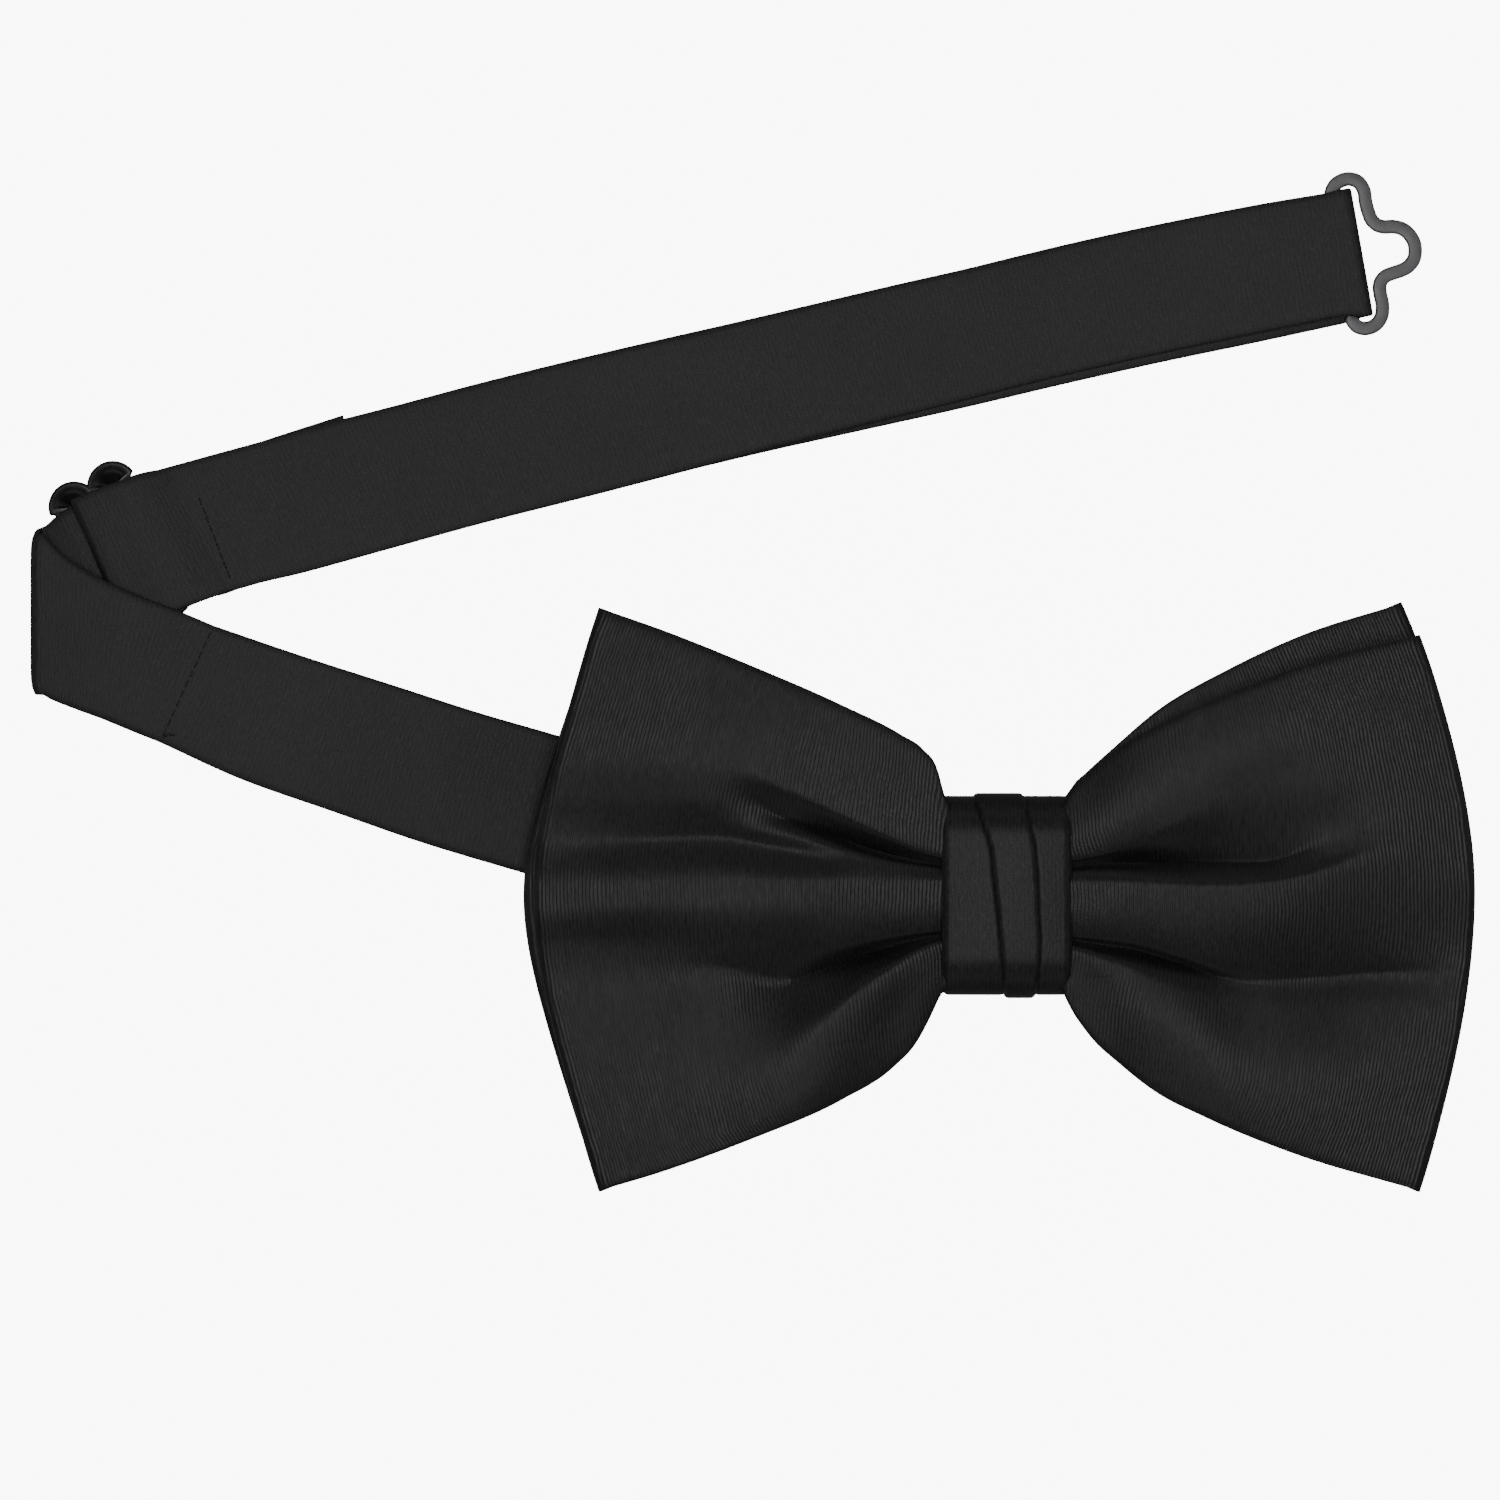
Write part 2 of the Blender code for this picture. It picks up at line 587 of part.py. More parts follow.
def build_hook():
    """A frame with its bar in the tab, and a tongue bent up and back to catch the eye's nose."""
    back = -HOOK_WIRE / 2
    front = back + HOOK_LENGTH
    half = HOOK_WIDTH / 2

    def frame_outline(inset):
        corner = 1.2 * MM - inset / 2
        right, left, top = front - inset, back + inset, half - inset
        corners = ((right, top, 0), (left, top, 90), (left, -top, 180), (right, -top, 270))
        points = []
        for x, y, start in corners:
            cx = x - corner if x == right else x + corner
            cy = y - corner if y > 0 else y + corner
            points += arc(cx, cy, corner, start, start + 90, 3)
        return points

    obj = flat_piece("neck_hook", [frame_outline(0), frame_outline(HOOK_WIRE)], HOOK_THICKNESS,
                     STEEL, 0.4, 0.9)
    bend = 0.95 * MM
    reach = 11.0 * MM
    path = [(front - 0.5 * MM, 0), (front + 2 * MM, 0), (reach - bend, 0)]
    for i in range(1, 7):
        angle = -math.pi / 2 + math.pi * i / 6
        path.append((reach - bend + bend * math.cos(angle), bend + bend * math.sin(angle)))
    path.append((reach - 4.5 * MM, 2 * bend + 0.1 * MM))
    tongue_half = 1.7 * MM
    rows = [[Vector((x, tongue_half * j, z)) for j in (-1, 1)] for x, z in path]
    tongue = sheet("hook_tongue_cutter", rows, HOOK_THICKNESS * 0.9, STEEL)
    PARTS.objects.unlink(tongue)
    CUTTERS.objects.link(tongue)
    tongue.hide_render = True
    tongue.display_type = "WIRE"
    placement = (HOOK_BAR_X, 0, HOOK_BAR_Z)
    for piece in (obj, tongue):
        piece.location = placement
        piece.rotation_euler = (0, HOOK_DROOP, 0)
    union = obj.modifiers.new("tongue", "BOOLEAN")
    union.operation = "UNION"
    union.object = tongue


def build_tab():
    """A narrow strap from inside the knot, round the hook's bar and back to the knot's side."""
    route = Route(((0.0, 0.0), (10.0, 0.0), (30.0, 0.0)))
    turn_radius = 0.95 * MM
    turn = []
    for i in range(7):
        angle = -math.pi / 2 + math.pi * i / 6
        turn.append((HOOK_BAR_X + 0.1 * MM + turn_radius * math.cos(angle),
                     HOOK_BAR_Z + turn_radius * math.sin(angle)))
    low, high = HOOK_BAR_Z - turn_radius, HOOK_BAR_Z + turn_radius
    strap("hook_tab", route, [(1.5 * MM, 1.6 * MM), (9.0 * MM, 1.6 * MM), (13.0 * MM, 0.9 * MM),
                              (17.0 * MM, low), (19.4 * MM, low)] + turn
          + [(19.4 * MM, high), (16.0 * MM, high), (11.0 * MM, 2.75 * MM)], 1,
          width=TAB_WIDTH, thickness=TAB_THICKNESS)
    points = []
    for i in range(17):
        share = i / 16
        lift = 0.08 * MM * (1 + math.sin(share * 4 * math.tau))
        points.append((13.2 * MM, TAB_WIDTH * 0.9 * (share - 0.5), 3.1 * MM + lift))
    thread("hook_tab_stitch", points, 0.13 * MM)


clear_scene()
PARTS = new_collection("bow_tie")
CUTTERS = new_collection("bow_tie_cutters")
build_loop("front_bow", FRONT_BOW)
build_loop("back_bow", BACK_BOW)
build_knot_wrap()
build_gather_thread()
build_lower_band(Route(LOWER_ROUTE))
build_fold_turn()
build_upper_band(upper_route())
build_adjuster()
build_eye()
build_tab()
build_hook()
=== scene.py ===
"""Looks for the ready-tied satin bow tie, built round its fixed frame."""

import math

import bmesh
import bpy
import numpy as np
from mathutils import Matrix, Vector


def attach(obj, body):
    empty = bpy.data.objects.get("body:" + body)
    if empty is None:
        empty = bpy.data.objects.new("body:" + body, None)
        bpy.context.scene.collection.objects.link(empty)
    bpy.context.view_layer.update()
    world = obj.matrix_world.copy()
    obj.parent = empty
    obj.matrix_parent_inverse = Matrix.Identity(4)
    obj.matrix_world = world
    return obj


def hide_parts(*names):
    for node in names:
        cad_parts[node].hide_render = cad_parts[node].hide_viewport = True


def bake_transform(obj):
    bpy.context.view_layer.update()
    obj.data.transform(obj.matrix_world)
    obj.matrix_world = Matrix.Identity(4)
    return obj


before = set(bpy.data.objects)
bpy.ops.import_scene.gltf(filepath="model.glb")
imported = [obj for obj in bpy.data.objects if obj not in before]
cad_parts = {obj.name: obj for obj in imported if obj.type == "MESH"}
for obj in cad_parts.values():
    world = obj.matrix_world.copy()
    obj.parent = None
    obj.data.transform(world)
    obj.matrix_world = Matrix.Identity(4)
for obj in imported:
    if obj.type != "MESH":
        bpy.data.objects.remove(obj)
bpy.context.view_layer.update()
MM = 0.001


# ---------------------------------------------------------------- curves and keys

def hermite(xs, ys, x):
    """A smooth curve through keys, flat past its ends; ys may hold several columns."""
    xs = np.asarray(xs, float)
    ys = np.asarray(ys, float)
    x = np.clip(np.asarray(x, float), xs[0], xs[-1])
    i = np.clip(np.searchsorted(xs, x, side="right") - 1, 0, len(xs) - 2)
    step = xs[i + 1] - xs[i]
    t = (x - xs[i]) / step
    slopes = np.gradient(ys, xs, axis=0)
    if ys.ndim > 1:
        t = t[..., None]
        step = step[..., None]
    a, b, ma, mb = ys[i], ys[i + 1], slopes[i] * step, slopes[i + 1] * step
    return ((2 * t ** 3 - 3 * t ** 2 + 1) * a + (t ** 3 - 2 * t ** 2 + t) * ma
            + (-2 * t ** 3 + 3 * t ** 2) * b + (t ** 3 - t ** 2) * mb)


def keyed(keys, x):
    """The value at x of (position, value) keys."""
    return hermite([k[0] for k in keys], [k[1] for k in keys], x)


def arc_lengths(points):
    """The distance from the first point to each point along a path."""
    return np.r_[0, np.cumsum(np.linalg.norm(np.diff(points, axis=0), axis=1))]


def path_points(points, count):
    """count points evenly along a smooth curve through the given ones."""
    points = np.array(points, float)
    chord = np.r_[0, np.cumsum(np.sqrt(np.linalg.norm(np.diff(points, axis=0), axis=1)))]
    dense = hermite(chord, points, np.linspace(0, chord[-1], 60 * len(points)))
    length = arc_lengths(dense)
    at = np.linspace(0, length[-1], count)
    return np.stack([np.interp(at, length, dense[:, k]) for k in range(dense.shape[1])], axis=1)


def smooth(t):
    """A soft step from 0 to 1."""
    t = np.clip(t, 0, 1)
    return t * t * (3 - 2 * t)


def ripple(x, y, seed):
    """A soft, irregular wave of about unit height, for slack cloth."""
    return (np.sin(x * 0.31 + y * 0.12 + seed) + np.sin(x * 0.13 - y * 0.27 + 2.1 * seed)
            + np.sin(x * 0.07 + y * 0.41 + 3.7 * seed)) / 3


def squared(value, power):
    """A sine or cosine made squarer by a power below 1, with its sign kept."""
    return math.copysign(abs(value) ** power, value)


# ---------------------------------------------------------------- meshes

def linked(name, data):
    """A new object in the scene."""
    obj = bpy.data.objects.new(name, data)
    bpy.context.scene.collection.objects.link(obj)
    return obj


def corner_points(mesh):
    """The number of the point at each corner of each face."""
    corner = np.zeros(len(mesh.loops), np.int32)
    mesh.loops.foreach_get("vertex_index", corner)
    return corner


def grid_mesh(name, grid, cloth, closed=False):
    """A sheet from a grid of points in millimetres. cloth holds each point's place on the flat cloth."""
    rows, columns, _ = grid.shape
    faces = []
    for i in range(rows if closed else rows - 1):
        k = (i + 1) % rows
        for j in range(columns - 1):
            faces.append((i * columns + j, i * columns + j + 1, k * columns + j + 1, k * columns + j))
    mesh = bpy.data.meshes.new(name)
    mesh.from_pydata((grid.reshape(-1, 3) * MM).tolist(), [], faces)
    flat = mesh.uv_layers.new(name="cloth")
    corner = corner_points(mesh)
    places = cloth.reshape(-1, 2)[corner]
    if closed:
        turn = corner.reshape(-1, 4)
        wrapped = (turn.max(axis=1) - turn.min(axis=1) > columns * 2).repeat(4)
        first_row = corner < columns
        whole = 2 * cloth[-1, 0, 0] - cloth[-2, 0, 0]
        places = places.copy()
        places[wrapped & first_row, 0] = whole
    flat.data.foreach_set("uv", (places * MM).ravel())
    mesh.shade_smooth()
    return linked(name, mesh)


def add_thickness(obj, thickness):
    """Gives a sheet its thickness, with a softly rounded edge, and applies it."""
    solidify = obj.modifiers.new("thickness", "SOLIDIFY")
    solidify.thickness = thickness * MM
    solidify.offset = 0.0
    bevel = obj.modifiers.new("rim", "BEVEL")
    bevel.width = 0.3 * thickness * MM
    bevel.segments = 2
    bevel.limit_method = "ANGLE"
    bevel.angle_limit = math.radians(50)
    apply_modifiers(obj)


def apply_modifiers(obj):
    bpy.context.view_layer.update()
    evaluated = obj.evaluated_get(bpy.context.evaluated_depsgraph_get())
    mesh = bpy.data.meshes.new_from_object(evaluated, preserve_all_data_layers=True,
                                           depsgraph=bpy.context.evaluated_depsgraph_get())
    obj.modifiers.clear()
    obj.data = mesh
    mesh.shade_smooth()


def paint(obj, material):
    obj.data.materials.clear()
    obj.data.materials.append(material)


# ---------------------------------------------------------------- materials

class Nodes:
    """A short way to wire a material's nodes."""

    def __init__(self, name):
        self.material = bpy.data.materials.new(name)
        self.material.use_nodes = True
        self.tree = self.material.node_tree
        self.shader = self.tree.nodes["Principled BSDF"]

    def add(self, kind, settings=(), **inputs):
        node = self.tree.nodes.new(kind)
        for key, value in dict(settings).items():
            setattr(node, key, value)
        for key, value in inputs.items():
            self.set(node, key.replace("_", " "), value)
        return node

    def set(self, node, key, value):
        socket = node.inputs[int(key)] if key.isdigit() else node.inputs[key]
        if isinstance(value, bpy.types.NodeSocket):
            self.tree.links.new(value, socket)
        else:
            socket.default_value = value

    def math(self, operation, a, b=0.0):
        node = self.tree.nodes.new("ShaderNodeMath")
        node.operation = operation
        self.set(node, "0", a)
        self.set(node, "1", b)
        return node.outputs[0]

    def place(self, scale):
        """The point on the flat cloth, stretched by scale."""
        uv = self.add("ShaderNodeUVMap", {"uv_map": "cloth"})
        mapping = self.add("ShaderNodeMapping", Vector=uv.outputs["UV"])
        mapping.inputs["Scale"].default_value = scale
        return mapping.outputs["Vector"]

    def noise(self, vector, scale, detail=2.0, roughness=0.5):
        node = self.add("ShaderNodeTexNoise", Vector=vector, Scale=scale, Detail=detail,
                        Roughness=roughness)
        return node.outputs["Fac"]

    def span(self, value, low, high, out_low, out_high):
        node = self.add("ShaderNodeMapRange", Value=value)
        limits = {"From Min": low, "From Max": high, "To Min": out_low, "To Max": out_high}
        for key, number in limits.items():
            node.inputs[key].default_value = number
        return node.outputs["Result"]

    def bump(self, height, strength, distance):
        node = self.add("ShaderNodeBump", Height=height, Strength=strength, Distance=distance)
        return node.outputs["Normal"]

    def shaded(self, colour, tone):
        """A colour made darker or lighter by a tone."""
        mix = self.add("ShaderNodeMix", {"data_type": "RGBA", "blend_type": "MULTIPLY"})
        self.set(mix, "0", 1.0)
        self.set(mix, "6", (*colour, 1.0))
        self.set(mix, "7", tone)
        return mix.outputs[2]


# How far, in metres, the ribs stray sideways.
RIB_WANDER = 0.0011


def satin_material(name, colour, pitch, rib, roughness, specular):
    """Black satin: ribs a pitch apart and rib high, uneven threads and slubs, and a soft sheen."""
    n = Nodes(name)
    flat = n.place((1.0, 1.0, 1.0))
    wander = n.noise(flat, 90.0)
    axes = n.add("ShaderNodeSeparateXYZ", Vector=flat)
    shifted = n.math("ADD", axes.outputs["X"], n.math("MULTIPLY", wander, RIB_WANDER))
    phase = n.math("MULTIPLY", shifted, math.tau / pitch)
    ribs = n.math("ADD", n.math("MULTIPLY", n.math("SINE", phase), 0.5), 0.5)
    threads = n.noise(n.place((3400.0, 900.0, 1.0)), 1.0, 2.0, 0.6)
    slubs = n.noise(n.place((260.0, 120.0, 1.0)), 1.0, 3.0, 0.6)
    height = n.math("ADD", n.math("MULTIPLY", ribs, rib), n.math("MULTIPLY", threads, 1.25))
    height = n.math("ADD", height, n.math("MULTIPLY", slubs, 0.5))
    n.set(n.shader, "Normal", n.bump(height, 0.55, 0.06 * MM))
    tone = n.math("MULTIPLY", n.span(ribs, 0, 1, 0.8, 1.18), n.span(threads, 0.25, 0.75, 0.4, 1.65))
    tone = n.math("MULTIPLY", tone, n.span(slubs, 0.3, 0.7, 0.9, 1.1))
    n.set(n.shader, "Base Color", n.shaded(colour, tone))
    n.set(n.shader, "Roughness", n.span(threads, 0.3, 0.7, roughness - 0.05, roughness + 0.07))
    n.shader.inputs["Specular IOR Level"].default_value = specular
    n.shader.inputs["Sheen Weight"].default_value = 0.06
    n.shader.inputs["Sheen Roughness"].default_value = 0.4
    n.shader.inputs["Anisotropic"].default_value = 0.25
    return n.material


def metal_material(name, colour, roughness, metallic, specular):
    """Stamped metal with faint mottling and a fine grain."""
    n = Nodes(name)
    where = n.add("ShaderNodeTexCoord").outputs["Object"]
    cloud = n.noise(where, 900.0, 4.0, 0.6)
    grain = n.noise(where, 5200.0, 2.0, 0.7)
    tone = n.math("MULTIPLY", n.span(cloud, 0.3, 0.7, 0.85, 1.15), n.span(grain, 0.3, 0.7, 0.9, 1.1))
    n.set(n.shader, "Base Color", n.shaded(colour, tone))
    n.set(n.shader, "Roughness", n.span(cloud, 0.3, 0.7, roughness - 0.06, roughness + 0.08))
    n.set(n.shader, "Normal", n.bump(grain, 0.25, 0.03 * MM))
    n.shader.inputs["Metallic"].default_value = metallic
    n.shader.inputs["Specular IOR Level"].default_value = specular
    return n.material


def thread_material():
    """Twisted polyester thread."""
    n = Nodes("thread")
    where = n.add("ShaderNodeTexCoord").outputs["Object"]
    twist = n.noise(where, 6000.0, 2.0, 0.7)
    shade = n.span(twist, 0.3, 0.7, 0.004, 0.012)
    n.set(n.shader, "Base Color", shade)
    n.set(n.shader, "Normal", n.bump(twist, 0.4, 0.04 * MM))
    n.shader.inputs["Roughness"].default_value = 0.6
    return n.material


BOW_SATIN = satin_material("bow_satin", (0.0097, 0.0097, 0.0102), 0.00048, 1.1, 0.43, 0.35)
BAND_SATIN = satin_material("band_satin", (0.0140, 0.0140, 0.0146), 0.00058, 0.12, 0.52, 0.32)
KNOT_SATIN = satin_material("knot_satin", (0.0125, 0.0125, 0.013), 0.0005, 0.12, 0.48, 0.3)
THREAD = thread_material()
LACQUER = metal_material("adjuster_lacquer", (0.0045, 0.0045, 0.0048), 0.34, 0.0, 0.45)
STEEL = metal_material("clasp_metal", (0.15, 0.15, 0.154), 0.46, 0.55, 0.3)


# ---------------------------------------------------------------- bow

TURN_DEPTH = 1.5
KNOT_EDGE = 7.4
HALF_WING = 36.5
BOW_THICKNESS = 0.6

# Each wing's edges as (distance from the knot's middle, height), how far its turn reaches at the
# corners and in the middle, and how round it is between them.
FRONT_WINGS = {
    -1: {"top": ((0, 10.8), (7.4, 11.2), (8.2, 13.2), (8.9, 16), (10.6, 18.5), (13.4, 20.4), (21, 24.2),
                 (32.5, 29.2), (44, 33.8), (51.4, 36.4)),
         "bottom": ((0, 10.8), (7.4, 11.2), (8.6, 12.6), (9.8, 15.2), (11.6, 18.6), (14.4, 21.6),
                    (21, 25.7), (32.5, 30.6), (44, 34.9), (51.5, 37.2)),
         "corner": 51.4, "middle": 59.7, "round": 0.38},
    1: {"top": ((0, 10.8), (7.4, 11.6), (8.4, 13.4), (10.4, 15.4), (14.2, 18.6), (22.3, 23.1), (31.2, 26.8),
                (40.2, 30), (52.2, 33)),
        "bottom": ((0, 10.8), (7, 11.4), (8.2, 14), (10.6, 17.6), (14.4, 21.2), (19, 24.8),
                   (24.9, 27.8), (36.3, 32.5), (51.9, 37.2)),
        "corner": 52.1, "middle": 59.1, "round": 0.8},
}
BACK_WINGS = {
    -1: {"top": ((0, 10.6), (7.6, 10.9), (9.4, 14.4), (13.4, 18.6), (21, 22.6), (36, 29), (51, 33.8)),
         "bottom": ((0, 10.6), (7.6, 10.9), (9.6, 14), (13.4, 18.8), (21, 24.2), (36, 30.6), (51, 36)),
         "corner": 51.8, "middle": 61.1, "round": 0.33},
    1: {"top": ((0, 10.6), (7.4, 11.8), (8.4, 13.6), (10.4, 15.6), (14, 18.9), (19.1, 23.3), (28.7, 28.9),
                (38, 33.2), (50.2, 37.1)),
        "bottom": ((0, 10.6), (7, 11), (9.6, 15.2), (15, 20.4), (24.9, 26.6), (36.3, 31.6), (50.6, 36.4)),
        "corner": 50.3, "middle": 59.5, "round": 0.8},
}

# The ridges and folds of each front panel from its top edge to its bottom one, each as
# (distance from the knot, place across, height) and the columns of cloth up to the next.
LEFT_LINES = (
    (((7.4, None, 12.7), (14, None, 13.2), (30, None, 13.9), (46, None, 13.7), (60, None, 13.2)), 15),
    (((7.4, 4.9, 12.9), (11, 6, 13.4), (15, 7.8, 13.8), (21, 10.6, 14.2), (28, 14, 14.6),
      (36, 17, 14.8), (46, 18, 14.5), (60, 18, 13.9)), 12),
    (((7.4, 3.9, 9.2), (11, 4.4, 9.5), (15, 5.3, 10.1), (21, 7.3, 11.1), (28, 9.8, 12.6), (36, 12.2, 14.2),
      (46, 12.6, 14), (60, 12.6, 13.5)), 4),
    (((7.4, 3.3, 12.2), (11, 3.7, 12.7), (15, 4.3, 13.1), (21, 5.8, 13.3), (28, 7.8, 13.4), (36, 9.5, 13.6),
      (46, 9.8, 13.4), (60, 9.8, 13.1)), 5),
    (((7.4, 2.9, 12.5), (11, 3.2, 12.9), (15, 3.7, 13.3), (21, 5, 13.4), (28, 6, 13), (36, 7.4, 13),
      (46, 7.2, 12.8), (60, 6.8, 12.9)), 8),
    (((7.4, 1.8, 12.9), (11, 1.8, 13.3), (15, 1.8, 13.7), (21, 1.8, 14.2), (28, 1.8, 14.5), (36, 1.9, 14.5),
      (46, 1.9, 14.2), (60, 1.2, 13.7)), 6),
    (((7.4, -0.6, 12.9), (11, -0.6, 13.3), (15, -0.6, 13.7), (21, -0.6, 14.1), (28, -0.5, 14.5),
      (36, -0.4, 14.5), (46, -0.5, 14.3), (60, -1.6, 13.8)), 8),
    (((7.4, -4.2, 12.2), (11, -4.5, 12.6), (15, -5, 12.9), (21, -5.9, 13.1), (28, -6.6, 13.2),
      (36, -6.6, 13.3), (46, -6.4, 13), (60, -6.8, 12.9)), 4),
    (((7.4, -4.9, 9.2), (11, -5.5, 9.3), (15, -6.5, 9.6), (21, -8.4, 10.4), (28, -10.6, 11.4),
      (36, -9.2, 12.6), (46, -10.4, 12.6), (60, -10.4, 12.6)), 9),
    (((7.4, -5.6, 12.5), (11, -7, 13.2), (14, -8.9, 13.6), (18, -11.7, 14), (24, -17.2, 14.3),
      (30, -22.5, 14.1), (36, -24, 13.8), (46, -24, 13.4), (60, -24, 13)), 9),
    (((7.4, -8.4, 12.3), (11, -12, 12.7), (14, -14.5, 12.8), (18, -18, 13.3), (24, -23, 14),
      (30, -27.5, 13.9), (36, -30, 13.7), (60, -31, 12.9)), 11),
    (((7.4, None, 12), (11, None, 11.9), (14, None, 11.9), (18, None, 12.3), (24, None, 13.4),
      (34, None, 13.6), (46, None, 13.3), (60, None, 12.8)), 0),
)
RIGHT_LINES = (
    (((7.4, None, 12.2), (12, None, 12.2), (17, None, 12.9), (22, None, 13.5), (30, None, 13.9),
      (40, None, 13.9), (46, None, 13.6), (60, None, 12.4)), 12),
    (((7.4, 6.6, 12.8), (12, 8.8, 13.5), (17, 12, 13.9), (22, 14.6, 14.2), (28, 18, 14.5),
      (34, 20, 14.6), (46, 24, 14), (60, 24, 12.4)), 10),
    (((7.4, 4.6, 12.6), (12, 5.6, 13.1), (17, 7.4, 13.4), (22, 9.8, 13.8), (28, 12.8, 14.1),
      (34, 14.4, 14.3), (40, 15.2, 14.4), (46, 15.5, 14), (60, 16, 12.5)), 12),
    (((7.4, 3.7, 9.2), (12, 4.2, 9.6), (17, 4.2, 10.4), (22, 4.3, 11.2), (28, 4.3, 11.9), (34, 4.5, 12.4),
      (40, 7, 13.5), (46, 9.4, 13.9), (60, 11, 12.6)), 4),
    (((7.4, 3.1, 12.2), (12, 3.1, 12.7), (17, 3, 13), (22, 2.8, 13.2), (28, 2.8, 13.5), (34, 3.1, 13.7),
      (40, 4.8, 13.9), (46, 7, 14.1), (60, 8, 12.7)), 6),
    (((7.4, 1.6, 12.9), (12, 1.6, 13.4), (17, 1.5, 13.9), (22, 1.3, 14.2), (28, 1.2, 14.5), (34, 1.8, 14.6),
      (40, 3, 14.5), (46, 5.2, 14.3), (60, 6, 12.8)), 6),
    (((7.4, -0.8, 12.9), (12, -0.8, 13.4), (17, -0.8, 13.8), (22, -0.8, 14.1), (28, -0.9, 14.4),
      (34, -0.4, 14.5), (40, 0.6, 14.3), (46, 2.4, 14.1), (60, 3, 12.8)), 9),
    (((7.4, -4.9, 12.2), (12, -5.3, 12.6), (17, -6, 12.8), (22, -7.4, 12.9), (28, -9, 12.8),
      (34, -9.2, 12.5), (40, -9, 12.1), (46, -8.4, 12.1), (60, -8, 12.2)), 4),
    (((7.4, -5.5, 9.2), (12, -6.1, 9.4), (17, -7, 9.9), (22, -8.5, 10.9), (28, -10.3, 11.8),
      (34, -10.6, 11.9), (40, -10.3, 11.6), (46, -9.8, 11.6), (60, -10, 12.35)), 5),
    (((7.4, -6.3, 12.3), (12, -7.8, 12.9), (17, -9.6, 13.1), (22, -11.4, 13), (28, -13.6, 12.6),
      (34, -14.4, 12.7), (40, -14, 12.4), (46, -14, 12.5), (60, -14, 12.3)), 7),
    (((7.4, -8.6, 12.2), (12, -11.4, 12.6), (17, -13, 13.4), (22, -17, 13.7), (28, -22, 14),
      (34, -24, 14), (40, -24, 13.8), (46, -24, 13.4), (60, -24, 12.4)), 13),
    (((7.4, None, 11.9), (12, None, 11.9), (17, None, 12.4), (24, None, 13.1), (34, None, 13.5),
      (46, None, 13.2), (60, None, 12.3)), 0),
)


def edge_reach(wing, v):
    """How far a wing reaches at a share v of its height."""
    k = wing["round"]
    bulge = 1 - (np.sqrt(v * v + k * k) - k) / (math.sqrt(1 + k * k) - k)
    return wing["corner"] + (wing["middle"] - wing["corner"]) * bulge


class FrontPanel:
    """A wing's front panel: cloth stretched through its ridges and folds."""

    def __init__(self, wing, lines):
        self.wing, self.lines = wing, lines
        segments = [(k, i / n) for k, (_, n) in enumerate(lines[:-1]) for i in range(n)]
        segments.append((len(lines) - 2, 1.0))
        self.segment = np.array([k for k, _ in segments])
        self.share = np.array([t for _, t in segments])
        self.v = np.linspace(1, -1, len(segments))
        for _ in range(4):
            reach = edge_reach(wing, self.v)
            y, _ = self.section(reach[None, :])
            limit = np.where(y[0] > 0, keyed(wing["top"], reach), keyed(wing["bottom"], reach))
            self.v = np.clip(y[0] / limit, -1, 1)
        self.reach = edge_reach(wing, self.v) - TURN_DEPTH

    def section(self, x):
        """Places across and heights of the columns at distances x from the knot's middle."""
        ys, zs = [], []
        last = len(self.lines) - 1
        for k, (keys, _) in enumerate(self.lines):
            at = [key[0] for key in keys]
            if k == 0:
                ys.append(keyed(self.wing["top"], x))
            elif k == last:
                ys.append(-keyed(self.wing["bottom"], x))
            else:
                ys.append(hermite(at, [key[1] for key in keys], x))
            zs.append(hermite(at, [key[2] for key in keys], x))
        ys, zs = np.array(ys), np.array(zs)
        secant = (zs[1:] - zs[:-1]) / (ys[1:] - ys[:-1])
        before = np.concatenate([secant[:1] * 1.6, secant])
        after = np.concatenate([secant, secant[-1:] * 1.6])
        same = before * after > 0
        even = np.where(same, 2 * before * after / (before + after + 1e-12), 0)
        depth = np.minimum(np.roll(zs, 1, axis=0), np.roll(zs, -1, axis=0)) - zs
        depth[0] = depth[-1] = 0
        crease = smooth((depth - 0.2) / 0.8)
        leaving = even * (1 - crease) + after * crease
        arriving = even * (1 - crease) + before * crease
        k = np.broadcast_to(self.segment, x.shape)[None]
        pick = lambda table: np.take_along_axis(table, k, axis=0)[0]
        pick_next = lambda table: np.take_along_axis(table, k + 1, axis=0)[0]
        y0, y1, z0, z1 = pick(ys), pick_next(ys), pick(zs), pick_next(zs)
        t, span = self.share, y1 - y0
        z = ((2 * t ** 3 - 3 * t ** 2 + 1) * z0 + (t ** 3 - 2 * t ** 2 + t) * span * pick(leaving)
             + (-2 * t ** 3 + 3 * t ** 2) * z1 + (t ** 3 - t ** 2) * span * pick_next(arriving))
        return y0 + span * t, z

    def points(self, side, shares):
        """The panel's points, gathered flat where the knot hides them."""
        x = shares[:, None] * self.reach[None, :]
        y, z = self.section(np.maximum(x, KNOT_EDGE))
        waist = keyed(self.wing["top"], 0.0) * self.v
        inside = smooth((x - 6.6) / 1.0)
        y = waist * (1 - inside) + y * inside
        z = (11.7 + 0.25 * np.cos(3 * math.pi * self.v)) * (1 - inside) + z * inside
        z = z + 0.07 * ripple(x * 1.3, y * 1.3, 1.0 + side) * smooth((x - 12) / 20)
        rim = 1 - np.abs(self.v)
        z = z - 0.12 * (1 - smooth(rim * 36 / 0.6))
        return np.stack([side * x, y, z], axis=-1)


